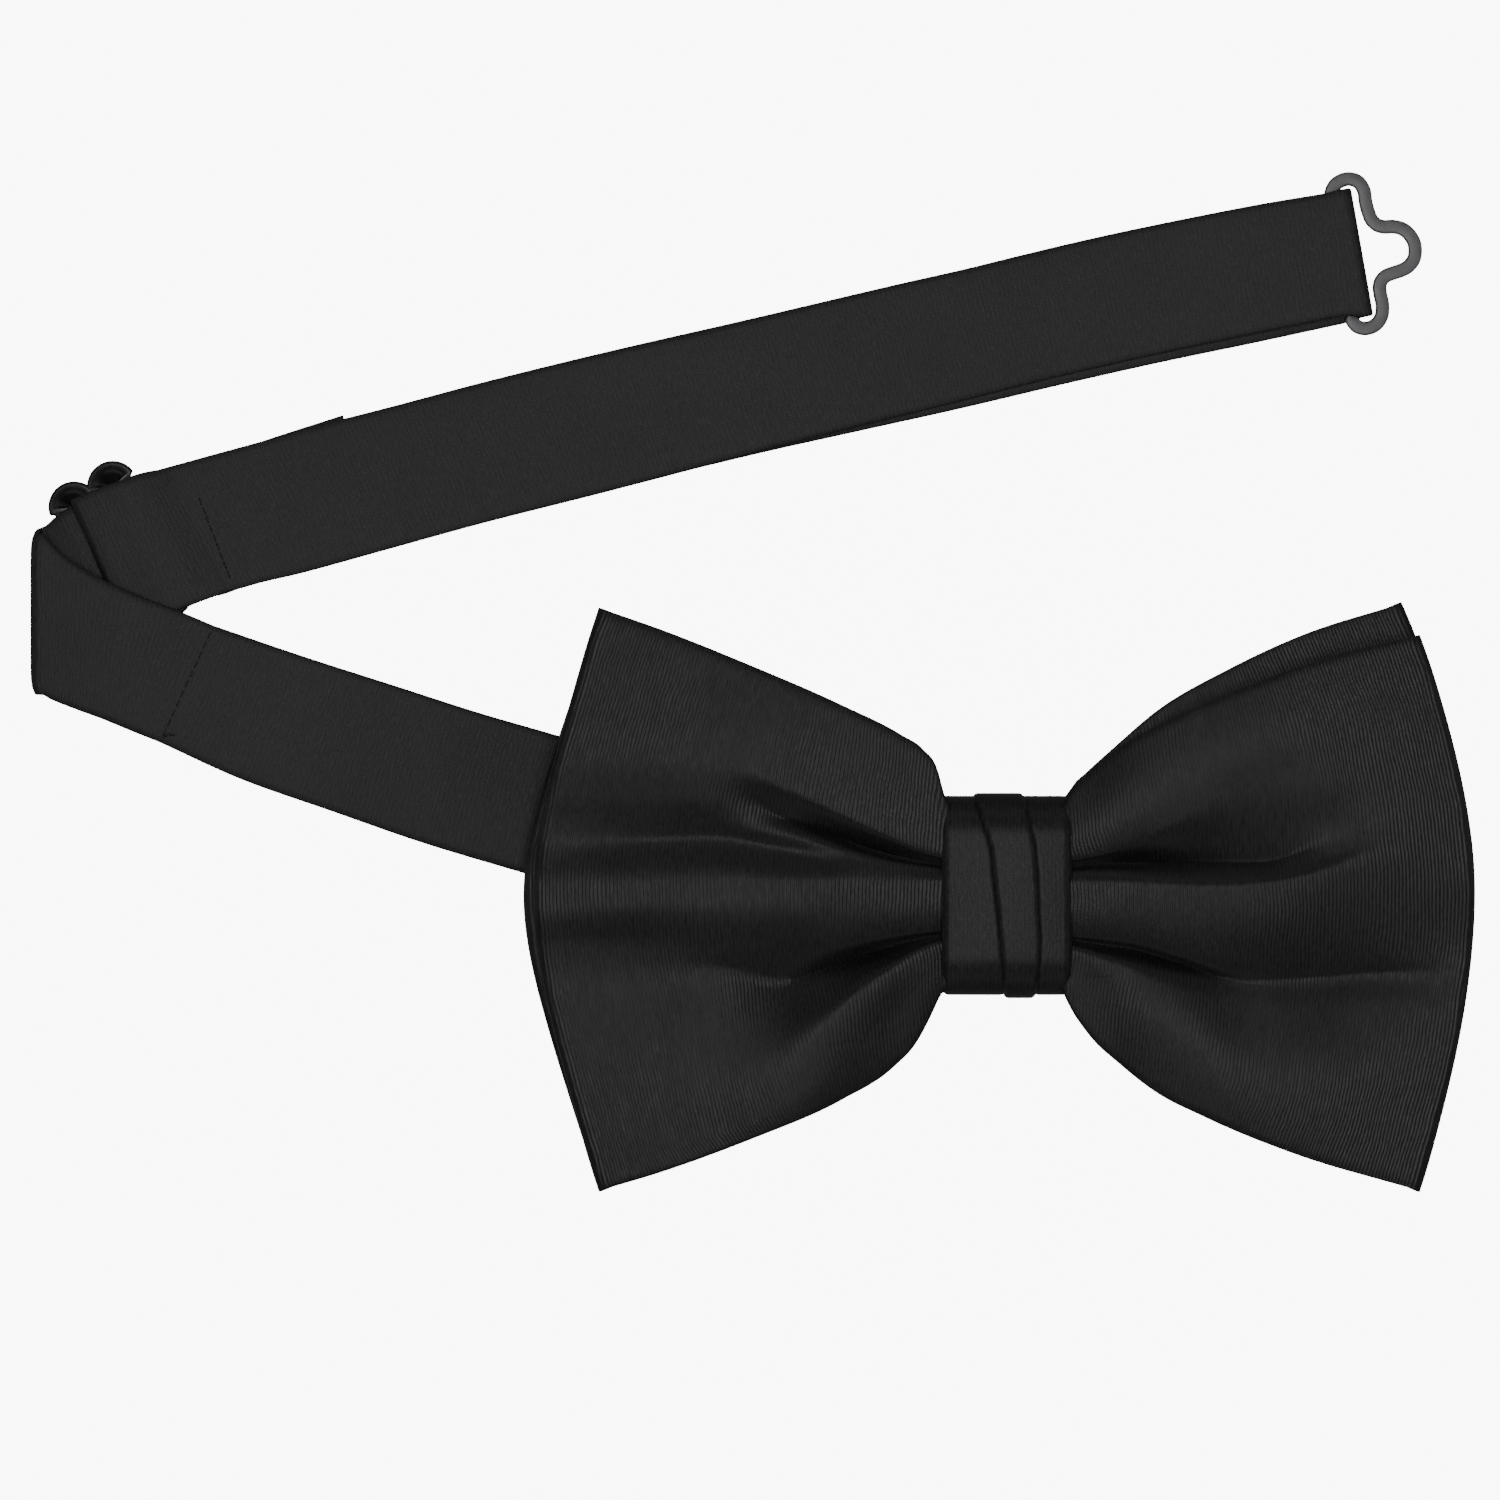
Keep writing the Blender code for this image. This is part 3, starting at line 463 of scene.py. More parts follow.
def panel_height(kind, side, x, y, v):
    """Heights of the panels behind the front one."""
    r = np.abs(x)
    pleat = 0.7 * np.cos(3 * math.pi * v) * (1 - smooth((r - 8) / 7))
    if kind == "front_back":
        return keyed(((0, 7.6), (8, 7.8), (14, 8.8), (60, 9.2)), r) + 0.5 * pleat
    if kind == "back_front":
        tilt = 1.3 * smooth((np.abs(v) - 0.55) / 0.5) * smooth((r - 12) / 10)
        return (keyed(((0, 6.7), (8, 6.7), (14, 7.6), (60, 7.6)), r) + 0.5 * pleat - tilt
                + 0.08 * ripple(x, y, 5.0 + side))
    level = keyed(((0, 4.4), (8, 4.5), (14, 4.9), (40, 4.4), (60, 3.9)), r)
    return level + 0.7 * pleat + 0.12 * ripple(x, y, 9.0 + side) * smooth((r - 12) / 15)


def plain_panel(wing, kind, side, shares, v):
    """A panel behind the front one: each column keeps its share of the wing's height."""
    x = shares[:, None] * (edge_reach(wing, v) - TURN_DEPTH)[None, :]
    y = np.where(v > 0, keyed(wing["top"], x), keyed(wing["bottom"], x)) * v
    z = panel_height(kind, side, side * x, y, np.broadcast_to(v, x.shape))
    return np.stack([side * x, y, z], axis=-1)


def turn_rows(front, back, side):
    """The turn at a wing's outer edge: nearly flat in front, then rolled sharply back."""
    rows = []
    for angle in np.linspace(0, math.pi, 15)[1:-1]:
        row = (front + back) / 2
        squareness = 0.45 if angle < math.pi / 2 else 1.0
        row[:, 0] += side * TURN_DEPTH * math.sin(angle) ** squareness
        corner = np.sign(front[:, 1]) * np.abs(front[:, 1] / 36) ** 4
        row[:, 1] += corner * (row[:, 0] - front[:, 0]) * side * 0.4
        drop = squared(math.cos(angle), squareness)
        row[:, 2] += (front[:, 2] - back[:, 2]) / 2 * drop
        rows.append(row)
    return np.array(rows)


def bow_loop(name, wings, lines, kinds):
    """One loop of cloth: right front, right turn, right back, left back, left turn, left front."""
    hidden, shown = 7.0, 43.0
    near = np.linspace(0, hidden, 7)
    shares = np.r_[near, hidden + np.linspace(0, 1, 90)[1:] ** 1.25 * shown] / (hidden + shown)
    back_shares = np.r_[near[::2], hidden + np.linspace(0, 1, 36)[1:] * shown] / (hidden + shown)
    fronts, backs, turns, spread = {}, {}, {}, {}
    for side in (-1, 1):
        wing = wings[side]
        if lines:
            panel = FrontPanel(wing, lines[side])
            fronts[side], spread[side] = panel.points(side, shares), panel.v
        else:
            v = np.linspace(1, -1, 71)
            fronts[side] = plain_panel(wing, kinds[0], side, back_shares, v)
            spread[side] = v
    columns = max(len(v) for v in spread.values())
    for side in (-1, 1):
        fronts[side] = widen(fronts[side], columns)
        spread[side] = widen(spread[side][None, :, None], columns)[0, :, 0]
        backs[side] = plain_panel(wings[side], kinds[1], side, back_shares, spread[side])
        turns[side] = turn_rows(fronts[side][-1], backs[side][-1], side)
    grid = np.concatenate([fronts[1], turns[1], backs[1][::-1], backs[-1][1:], turns[-1][::-1],
                           fronts[-1][:0:-1]])
    along = arc_lengths(grid[:, columns // 2])
    right_rows = len(fronts[1]) + len(turns[1]) + len(backs[1])
    across = np.concatenate([np.tile(spread[1] * HALF_WING, (right_rows, 1)),
                             np.tile(spread[-1] * HALF_WING, (len(grid) - right_rows, 1))])
    cloth = np.stack([np.tile(along[:, None], (1, columns)), across], axis=-1)
    obj = grid_mesh(name, grid, cloth, closed=True)
    add_thickness(obj, BOW_THICKNESS)
    paint(obj, BOW_SATIN)
    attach(obj, "bow")
    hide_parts(name + "_satin", name + "_interlining")
    return obj


def widen(grid, columns):
    """The same rows with more columns, the extra ones next to the lower edge."""
    extra = columns - grid.shape[1]
    if not extra:
        return grid
    steps = np.arange(1, extra + 1)[None, :, None] / (extra + 1)
    between = grid[:, -2:-1] * (1 - steps) + grid[:, -1:] * steps
    return np.concatenate([grid[:, :-1], between, grid[:, -1:]], axis=1)


def grid_normals(grid):
    """The unit normal at each point of a grid."""
    along = np.gradient(grid, axis=0)
    across = np.gradient(grid, axis=1)
    normal = np.cross(along, across)
    return normal / (np.linalg.norm(normal, axis=-1, keepdims=True) + 1e-12)


# ---------------------------------------------------------------- knot

KNOT_THICKNESS = 0.8
# The middle fold's two edges, as (place up the knot, distance across).
KNOT_LEFT_CREASE = ((-13, 0), (-6.3, -0.6), (-2.1, -1), (2.3, -1.5), (6.1, -1.9), (11.5, -3.7), (13, -4.2))
KNOT_RIGHT_CREASE = ((-13, 3.2), (-5.2, 3.7), (-2.1, 3.5), (1.7, 3.4), (6.3, 3), (11.5, 1.9), (13, 1.6))


def knot_wrap():
    """The pleated strip round the waist: the middle fold lies on top of the other two."""
    front_corner, back_corner, half_y, front_z, back_z = 4.6, 1.8, 12.25, 13.35, 0.45
    front_bend, back_bend = front_z - front_corner, back_z + back_corner
    corners = ((1, front_bend, front_corner, 0.0), (-1, front_bend, front_corner, 0.5),
               (-1, back_bend, back_corner, 1.0), (1, back_bend, back_corner, 1.5))
    girth = []
    for side, z, radius, start in corners:
        for i in range(15):
            angle = math.pi * (start + 0.5 * i / 14)
            girth.append((side * (half_y - radius) + radius * math.cos(angle), z + radius * math.sin(angle)))
    loop = path_points(girth + [girth[0]], 181)[:-1]
    x = np.linspace(-1, 1, 129)
    rows = []
    for y, z in loop:
        front = float(smooth((z - 3.0) / 7.0))
        left = float(keyed(KNOT_LEFT_CREASE, y))
        right = float(keyed(KNOT_RIGHT_CREASE, y))
        half = 7.95 - 0.35 * max(0.0, abs(y) / 12.3) ** 6 * front
        place = x * half
        step = smooth((place - left) / 0.32) * (1 - smooth((place - right) / 0.32))
        groove = np.exp(-((place - left + 0.22) / 0.24) ** 2) + np.exp(-((place - right - 0.5) / 0.24) ** 2)
        roll = -0.55 * smooth((np.abs(place) - 7.1) / 0.9) ** 2
        crown = 0.5 * (1 - (place / 8.2) ** 2) * max(0.0, 1 - (y / 12.5) ** 2)
        lift = front * (0.42 * step - 0.20 * groove + crown) + roll
        up = 1.0
        if abs(y) > half_y - front_corner:
            up = max(0.0, z - front_bend) / front_corner
        out = math.copysign(math.sqrt(max(0.0, 1 - min(1.0, up ** 2))), y)
        if z < back_bend:
            lift = np.zeros_like(place)
        rows.append(np.stack([place, y + out * lift, z + up * lift], axis=1))
    grid = np.array(rows)
    along = arc_lengths(grid[:, len(x) // 2])
    cloth = np.stack(np.meshgrid(x * 8.0, along, indexing="xy"), axis=-1)
    obj = grid_mesh("pleated_knot_wrap", grid, cloth, closed=True)
    add_thickness(obj, KNOT_THICKNESS)
    paint(obj, KNOT_SATIN)
    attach(obj, "bow")
    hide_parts("knot_wrap")


# ---------------------------------------------------------------- band

STRAP_COLUMNS = 25
ACROSS = np.linspace(0, 1, STRAP_COLUMNS)
# A strap's middle stands this much higher than its edges.
PUFF = 0.10 * (1 - (2 * ACROSS - 1) ** 6)

# On the flat cloth, a strap's upper side lies this far either way, and its back side, past the rolled
# edge, between the next two places.
STRAP_HALF = 8.5
BACK_START = 9.0
BACK_END = 26.0
CLOTH_END = 26.6


def between_edges(lower, upper):
    """The plan of a strap between its two edges."""
    return lower[:, None, :] * (1 - ACROSS[None, :, None]) + upper[:, None, :] * ACROSS[None, :, None]


def strap_grid(top, bottom, heights, rows, seed=0.0):
    """A strap between its two edges in plan. heights gives its middle's height by share of length."""
    plan = between_edges(path_points(bottom, rows), path_points(top, rows))
    z = keyed(heights, np.linspace(0, 1, rows))[:, None] + PUFF[None, :]
    z = z + 0.05 * ripple(plan[..., 0], plan[..., 1], seed)
    return np.concatenate([plan, z[..., None]], axis=-1)


def strap_row(low_end, high_end, z):
    """One row of a strap, between its two ends in plan."""
    share = ACROSS[:, None]
    plan = np.array(low_end)[None, :2] * (1 - share) + np.array(high_end)[None, :2] * share
    return np.concatenate([plan, z + PUFF[:, None]], axis=1)


def join_rows(a, b, count):
    """Rows between two rows."""
    return np.array([a + (b - a) * (i + 1) / (count + 1) for i in range(count)])


def strap_piece(name, grid, thickness, nodes):
    """A woven strap with rolled edges round a grid that holds its middle surface, and its length."""
    # A row close to each end keeps the cap from bending the shading of the rest.
    near_start = grid[0] * 0.96 + grid[1] * 0.04
    near_end = grid[-1] * 0.96 + grid[-2] * 0.04
    grid = np.concatenate([grid[:1], [near_start], grid[1:-1], [near_end], grid[-1:]])
    along = arc_lengths(grid[:, grid.shape[1] // 2])
    normal = grid_normals(grid)
    half = thickness / 2
    places = np.linspace(-STRAP_HALF, STRAP_HALF, STRAP_COLUMNS)
    ring = [grid[:, j] + normal[:, j] * half for j in range(STRAP_COLUMNS)]
    across = list(places)
    for edge, inner, angles, start in ((-1, -2, (45, 90, 135), STRAP_HALF), (0, 1, (135, 90, 45), BACK_END)):
        sideways = grid[:, edge] - grid[:, inner]
        sideways /= np.linalg.norm(sideways, axis=1, keepdims=True)
        for step, angle in enumerate(angles):
            c, d = math.cos(math.radians(angle)), math.sin(math.radians(angle))
            ring.append(grid[:, edge] + (normal[:, edge] * c + sideways * d) * half)
            across.append(start + half * (step + 1) / 2)
        if edge == -1:
            ring += [grid[:, j] - normal[:, j] * half for j in reversed(range(STRAP_COLUMNS))]
            across += [BACK_START + STRAP_HALF - place for place in reversed(places)]
    cloth = np.stack(np.meshgrid(np.array(across), along, indexing="ij")[::-1], axis=-1)
    obj = ring_mesh(name, np.array(ring), cloth)
    paint(obj, BAND_SATIN)
    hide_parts(*nodes)
    return obj, float(along[-1])


def ring_mesh(name, ring, cloth):
    """A tube of cloth from its long lines of points, closed round and capped at its ends."""
    lines, rows, _ = ring.shape
    faces = []
    for i in range(lines):
        k = (i + 1) % lines
        for j in range(rows - 1):
            faces.append((i * rows + j, i * rows + j + 1, k * rows + j + 1, k * rows + j))
    sides = len(faces)
    faces.append(tuple(i * rows for i in range(lines)))
    faces.append(tuple(i * rows + rows - 1 for i in reversed(range(lines))))
    mesh = bpy.data.meshes.new(name)
    mesh.from_pydata((ring.reshape(-1, 3) * MM).tolist(), [], faces)
    flat = mesh.uv_layers.new(name="cloth")
    corner = corner_points(mesh)
    places = cloth.reshape(-1, 2)[corner].copy()
    last = np.arange((lines - 1) * (rows - 1) * 4, sides * 4)
    first_line = corner[last] < rows
    places[last[first_line], 1] = CLOTH_END
    flat.data.foreach_set("uv", (places * MM).ravel())
    bm = bmesh.new()
    bm.from_mesh(mesh)
    bmesh.ops.recalc_face_normals(bm, faces=bm.faces)
    bm.to_mesh(mesh)
    bm.free()
    mesh.shade_smooth()
    for face in mesh.polygons[sides:]:
        face.use_smooth = False
    return linked(name, mesh)


BAND_THICKNESS = 0.6
SEAM_TOP, SEAM_BOTTOM = (-101, 34.1), (-107.6, 19.7)
SEAM_Z = 5.75
FOLD_X = -122.6
LOWER_TOP = ((-1, 8.5), (-9, 8.7), (-22, 11), (-38, 14.6), (-50, 18), (-59.3, 20.7),
             (-66.9, 22.9), (-78.4, 26.6), (-89.9, 30.3), SEAM_TOP, (-105.5, 36), (-109.9, 37.7),
             (-113.6, 39.3), (-117.4, 41.2), (-120.6, 43.5), (FOLD_X, 45.7))
LOWER_BOTTOM = ((-1, -8.5), (-9.4, -8.2), (-26, -5.6), (-42, -2.2), (-54, 0.9), (-63.1, 3.5),
                (-74.6, 7), (-86, 11), (-97.5, 15.1), SEAM_BOTTOM, (-111.6, 21.3), (-115, 22.7),
                (-118.3, 23.9), (-120.9, 24.9), (-122, 25.4), (FOLD_X, 25.8))
LOWER_ROWS = 236
SEAM_ROW = 190


def lower_grid():
    """The whole lower run, from inside the knot to the flat fold; SEAM_ROW is where it is sewn."""
    edges = []
    for edge, seam_point in ((LOWER_BOTTOM, SEAM_BOTTOM), (LOWER_TOP, SEAM_TOP)):
        seam = edge.index(seam_point)
        edges.append(np.concatenate([path_points(edge[:seam + 1], SEAM_ROW + 1),
                                     path_points(edge[seam:], LOWER_ROWS - SEAM_ROW)[1:]]))
    plan = between_edges(*edges)
    middle = plan[:, STRAP_COLUMNS // 2]
    heights = ((-124, SEAM_Z), (-104, SEAM_Z), (-92, 5.4), (-74, 3.6), (-58, 1.9), (-40, 1.6), (0, 1.55))
    z = keyed(heights, middle[:, 0])[:, None] + PUFF[None, :]
    z = z + 0.06 * ripple(plan[..., 0], plan[..., 1], 2.0)
    return np.concatenate([plan, z[..., None]], axis=-1)


def lower_band():
    """From inside the knot, behind the left wing, to the cross seam."""
    grid = lower_grid()[:SEAM_ROW + 1]
    nodes = ("band_anchor", "band_inner_section")
    obj, length = strap_piece("band_lower_strap", grid, BAND_THICKNESS, nodes)
    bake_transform(obj)


def fold_strap():
    """From the cross seam over the flat fold at the far left to the lower run."""
    grid = lower_grid()[SEAM_ROW:]
    edge = grid[-1]
    depth = 1.45 - 0.5 * np.abs(np.linspace(-1, 1, STRAP_COLUMNS)) ** 12
    middle_z = 4.4
    steps = 18
    turn = []
    for i in range(1, steps + 1):
        angle = math.pi * i / steps
        squareness = 0.45 if angle < math.pi / 2 else 1.0
        drop = squared(math.cos(angle), squareness)
        row = edge.copy()
        row[:, 0] = FOLD_X - depth * math.sin(angle) ** squareness
        row[:, 1] += 1.2 * i / steps * ACROSS ** 2
        row[:, 2] = middle_z + (edge[:, 2] - middle_z) * drop
        turn.append(row)
    grid = np.concatenate([grid, np.array(turn)])
    nodes = ("band_outer_section", "band_fold_turn")
    obj, length = strap_piece("band_fold_strap", grid, BAND_THICKNESS, nodes)
    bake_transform(obj)


ADJUSTER = (-112.5, 43.3)
ADJUSTER_HEADING = math.radians(28.0)
# Half the strap's width where it passes through the adjuster.
WOVEN_HALF = 8.4


def local_point(along, across, height):
    """A point in the adjuster's own directions."""
    c, s = math.cos(ADJUSTER_HEADING), math.sin(ADJUSTER_HEADING)
    return (ADJUSTER[0] + along * c - across * s, ADJUSTER[1] + along * s + across * c, height)


WEAVE_THICKNESS = 0.55


def weave_strap():
    """From the fold up over the adjuster's first bar, under the middle one and over the last."""
    profile = ((-6.3, 3.1), (-5.2, 3.15), (-4.2, 3.14), (-3.05, 3), (-2.65, 2.3), (-2.45, 1.45),
               (-2.2, 0.85), (-1.7, 0.48), (-0.8, 0.40), (0.9, 0.40), (1.8, 0.7), (2.5, 1.5), (3, 2.4),
               (3.7, 3), (4.6, 3.1), (6, 2.85), (7.6, 1.8), (9.2, 0.75), (10.4, 0.38))
    bar = -3.0
    weave = []
    for d, z in path_points(profile, 90):
        low, high = np.array(local_point(d, -WOVEN_HALF, z)), np.array(local_point(d, WOVEN_HALF, z))
        if d < bar:
            high[0] = np.interp(d, (profile[0][0], bar), (-121.3, -119.1))
            high[1] = np.interp(d, (profile[0][0], bar), (48.0, 49.6))
        straighten = float(smooth((d - 5.0) / 5.4))
        low[:2] = low[:2] * (1 - straighten) + np.array(BACK_BOTTOM[0]) * straighten
        high[:2] = high[:2] * (1 - straighten) + np.array(BACK_TOP[0]) * straighten
        weave.append(strap_row(low, high, z))
    weave = np.array(weave)
    fold_edge = strap_row((FOLD_X, 25.9), (FOLD_X, 46.9), 3.05)
    grid = np.concatenate([[fold_edge], join_rows(fold_edge, weave[0], 12), weave])
    obj, length = strap_piece("band_weave_strap", grid, WEAVE_THICKNESS, ("band_feed", "adjuster_weave"))
    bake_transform(obj)


FRONT_TOP = ((-106.9, 54.4), (-100.8, 56.1), (-95, 57.7), (-89.9, 59.2), (-78.4, 62.2), (-66.9, 65.3),
             (-51.6, 69.1), (-32.5, 73.5), (-13.4, 78), (-5, 79.9), (1.9, 81.6), (9, 83.3),
             (17.2, 85.1), (32.5, 88.1), (41, 89.5))
FRONT_BOTTOM = ((-99, 39), (-95, 40.1), (-89.9, 41.3), (-78.4, 44.5), (-66.9, 47.7), (-51.6, 51.6),
                (-32.5, 56.6), (-20, 59.8), (-6, 63.3), (8, 66.8), (20, 69.5), (32.5, 72.1), (43.4, 74.3))
BACK_BOTTOM = ((-99, 39.4), (-89.9, 41.5), (-66.9, 47.9), (-32.5, 56.5), (-20, 59.3), (-6, 62.4),
               (8, 65.7), (20, 68.4), (32.5, 71), (43.6, 73.4))
BACK_TOP = ((-106.3, 54), (-89.9, 58.8), (-66.9, 64.9), (-32.5, 73), (-5, 79.4), (9, 82.8),
            (32.5, 87.6), (41.2, 89.1))
# The wrap's edges in plan, from over the adjuster's middle bar to where the flat strap starts.
WRAP_TOP = ((-119.1, 50.2), (-115, 51.9), (-110.7, 53.3), (-106.9, 54.4))
WRAP_BOTTOM = ((-112.2, 33.9), (-107, 35.9), (-102.9, 37.6), (-99, 39))
EYE_BAR = (43.1, 81.45)
EYE_HEADING = math.radians(10.0)
LOOP_THICKNESS = 0.5


def wrap_rows(profile, count):
    """Rows of the end wrapped round the middle bar: (distance from the bar, height, slant) triples."""
    steps = 60
    high, low = path_points(WRAP_TOP, steps), path_points(WRAP_BOTTOM, steps)
    rows = []
    for d, z, slant in path_points(profile, count):
        at = np.clip((d + 3.0) / 14.0, 0, 1) * (steps - 1)
        straight = (1 - slant) * (1 - float(smooth((d - 3.0) / 7.0)))
        ends = []
        for edge, across in ((low, -WOVEN_HALF), (high, WOVEN_HALF)):
            slanted = np.array([np.interp(at, np.arange(steps), edge[:, k]) for k in (0, 1)])
            square = np.array(local_point(d, across, z))[:2]
            ends.append(slanted * (1 - straight) + square * straight)
        rows.append(strap_row(ends[0], ends[1], z))
    return np.array(rows)


def eye_turn():
    """The strap's turn round the eye's bar, from its back layer up to its front one."""
    heading = np.array([math.cos(EYE_HEADING), math.sin(EYE_HEADING)])
    across = np.array([-heading[1], heading[0]])
    rows = []
    for angle in np.linspace(-math.pi / 2, math.pi / 2, 17):
        squareness = 0.5 if angle > 0 else 1.0
        reach = 1.55 + 1.1 * squared(math.cos(angle), squareness)
        height = 1.5 + 1.05 * squared(math.sin(angle), squareness)
        centre = np.array(EYE_BAR) + heading * reach
        rows.append(strap_row(centre - across * 7.65, centre + across * 8.4, height))
    return np.array(rows)


def loop_strap():
    """The loop's back layer, its turn round the eye's bar, its front layer, its end round the adjuster."""
    back = strap_grid(BACK_TOP, BACK_BOTTOM, ((0, 0.38), (0.9, 0.4), (1, 0.45)), 120, seed=6.0)
    front_heights = ((0, 4.1), (0.05, 3.85), (0.12, 3.3), (0.25, 2.2), (0.4, 1.5), (0.55, 1.3), (0.85, 1.3),
                     (1, 2.4))
    front = strap_grid(FRONT_TOP, FRONT_BOTTOM, front_heights, 190, seed=7.0)
    end = eye_turn()
    wrap = wrap_rows(((10.6, 4.15, 1), (9, 4.35, 1), (7, 4.6, 1), (5.2, 4.75, 1), (3.4, 4.82, 1),
                      (1.6, 4.8, 1), (0, 4.77, 1), (-1.7, 4.72, 1), (-2.65, 4.58, 1), (-2.95, 4.22, 1),
                      (-2.75, 3.84, 0.8), (-2.2, 3.5, 0.4), (-1.8, 2.9, 0.1), (-1.65, 2.2, 0),
                      (-1.4, 1.5, 0), (-0.8, 1.2, 0), (0.7, 1.2, 0), (1.3, 1.55, 0), (1.8, 2.55, 0),
                      (2.3, 3.4, 0), (3.2, 3.82, 0), (4.6, 3.92, 0), (6.1, 3.8, 0), (8, 3, 0),
                      (9.6, 2, 0), (10.6, 1.4, 0)), 170)
    stub_top = ((-106.7, 54.2), (-100.8, 55.9), (-93, 58.5), (-84.6, 61.2))
    stub_bottom = ((-98.9, 39.1), (-94, 40.5), (-89, 41.8), (-80.4, 44.3))
    stub = strap_grid(stub_top, stub_bottom, ((0, 1.25), (1, 1.15)), 40)
    grid = np.concatenate([back, join_rows(back[-1], end[0], 4), end, join_rows(end[-1], front[-1], 4),
                           front[::-1], wrap, stub[1:]])
    nodes = ("loop_back_layer", "loop_front_layer", "loop_end_fold", "adjuster_wrap")
    obj, length = strap_piece("band_loop_strap", grid, LOOP_THICKNESS, nodes)
    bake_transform(obj)


# ---------------------------------------------------------------- stitches

def thread_piece(name, stretches, radius, body):
    """Thread along each stretch of points."""
    curve = bpy.data.curves.new(name, "CURVE")
    curve.dimensions = "3D"
    curve.bevel_depth = radius * MM
    curve.bevel_resolution = 2
    curve.use_fill_caps = True
    for stretch in stretches:
        line = curve.splines.new("POLY")
        line.points.add(len(stretch) - 1)
        for spot, point in zip(line.points, stretch):
            spot.co = (*(Vector(point) * MM), 1.0)
    curve.materials.append(THREAD)
    obj = linked(name, curve)
    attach(obj, body)
    return obj


def stitch_row(name, start, end, z, body, count, length, radius):
    """A row of short stitches from start to end in plan, each dipping into the cloth at its ends."""
    a, b = Vector((*start, z)), Vector((*end, z))
    along = (b - a).normalized()
    pitch = (b - a).length / count
    half = min(length, pitch * 0.82) / 2
    stretches = []
    for i in range(count):
        centre = a + along * pitch * (i + 0.5)
        stretches.append([centre + along * (t * half) + Vector((0, 0, 0.10 - 0.22 * t ** 4))
                          for t in np.linspace(-1, 1, 7)])
    return thread_piece(name, stretches, radius, body)


def seam_stitches():
    """The cross seam's stitches, and the loose end of their thread."""
    a, b = Vector((*SEAM_TOP, 0)), Vector((*SEAM_BOTTOM, 0))
    start, end = a.lerp(b, 0.03), a.lerp(b, 0.97)
    row = stitch_row("band_seam_stitches", start.xy, end.xy, 6.17, "band_lower", 11, 0.9, 0.09)
    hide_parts("band_seam_stitch")
    tick = [(-107.3, 20.2, 6.2), (-107.0, 20.3, 6.42), (-106.6, 20.5, 6.5), (-106.3, 20.45, 6.45),
            (-105.9, 20.35, 6.3)]
    thread_piece("band_seam_thread_end", [tick], 0.12, "band_lower")


def wrap_stitches():
    """The stitches that hold the end wrapped round the adjuster."""
    start, end = (-102.9, 50.8), (-98.9, 40.4)
    row = stitch_row("adjuster_wrap_stitches", start, end, 4.44, "adjuster", 9, 0.95, 0.095)
    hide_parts("adjuster_wrap_stitch")


# ---------------------------------------------------------------- metal

def flat_wire(name, centreline, width, thickness, wide_end=0.0):
    """A closed loop of flat wire with rounded edges along a centreline in plan, wider round its far end."""
    line = path_points(centreline + [centreline[0]], 180)[:-1]
    tangent = np.roll(line, -1, axis=0) - np.roll(line, 1, axis=0)
    tangent = tangent / np.linalg.norm(tangent, axis=1, keepdims=True)
    normal = np.stack([-tangent[:, 1], tangent[:, 0]], axis=1)
    extra = wide_end * smooth((line[:, 1] - line[:, 1].max() + 2.6) / 1.6) / 2
    section = []
    corner = thickness * 0.42
    for sx, sz, start in ((1, 1, 0.0), (-1, 1, 0.5), (-1, -1, 1.0), (1, -1, 1.5)):
        for i in range(5):
            angle = math.pi * (start + 0.5 * i / 4)
            section.append((sx * (width / 2 - corner) + corner * math.cos(angle),
                            sz * (thickness / 2 - corner) + corner * math.sin(angle)))
    bm = bmesh.new()
    rings = []
    for (x, y), (nx, ny), more in zip(line, normal, extra):
        ring = []
        for d, h in section:
            d += math.copysign(more, d)
            ring.append(bm.verts.new(Vector((x + nx * d, y + ny * d, h)) * MM))
        rings.append(ring)
    for a, b in zip(rings, rings[1:] + rings[:1]):
        for j in range(len(section)):
            k = (j + 1) % len(section)
            bm.faces.new((a[j], b[j], b[k], a[k]))
    bmesh.ops.recalc_face_normals(bm, faces=bm.faces)
    mesh = bpy.data.meshes.new(name)
    bm.to_mesh(mesh)
    bm.free()
    mesh.shade_smooth()
    return linked(name, mesh)


def arc(cx, cy, radius, start, end, steps):
    """Points round a centre, from one angle to another in degrees."""
    return [(cx + radius * math.cos(math.radians(start + (end - start) * i / steps)),
             cy + radius * math.sin(math.radians(start + (end - start) * i / steps)))
            for i in range(steps + 1)]


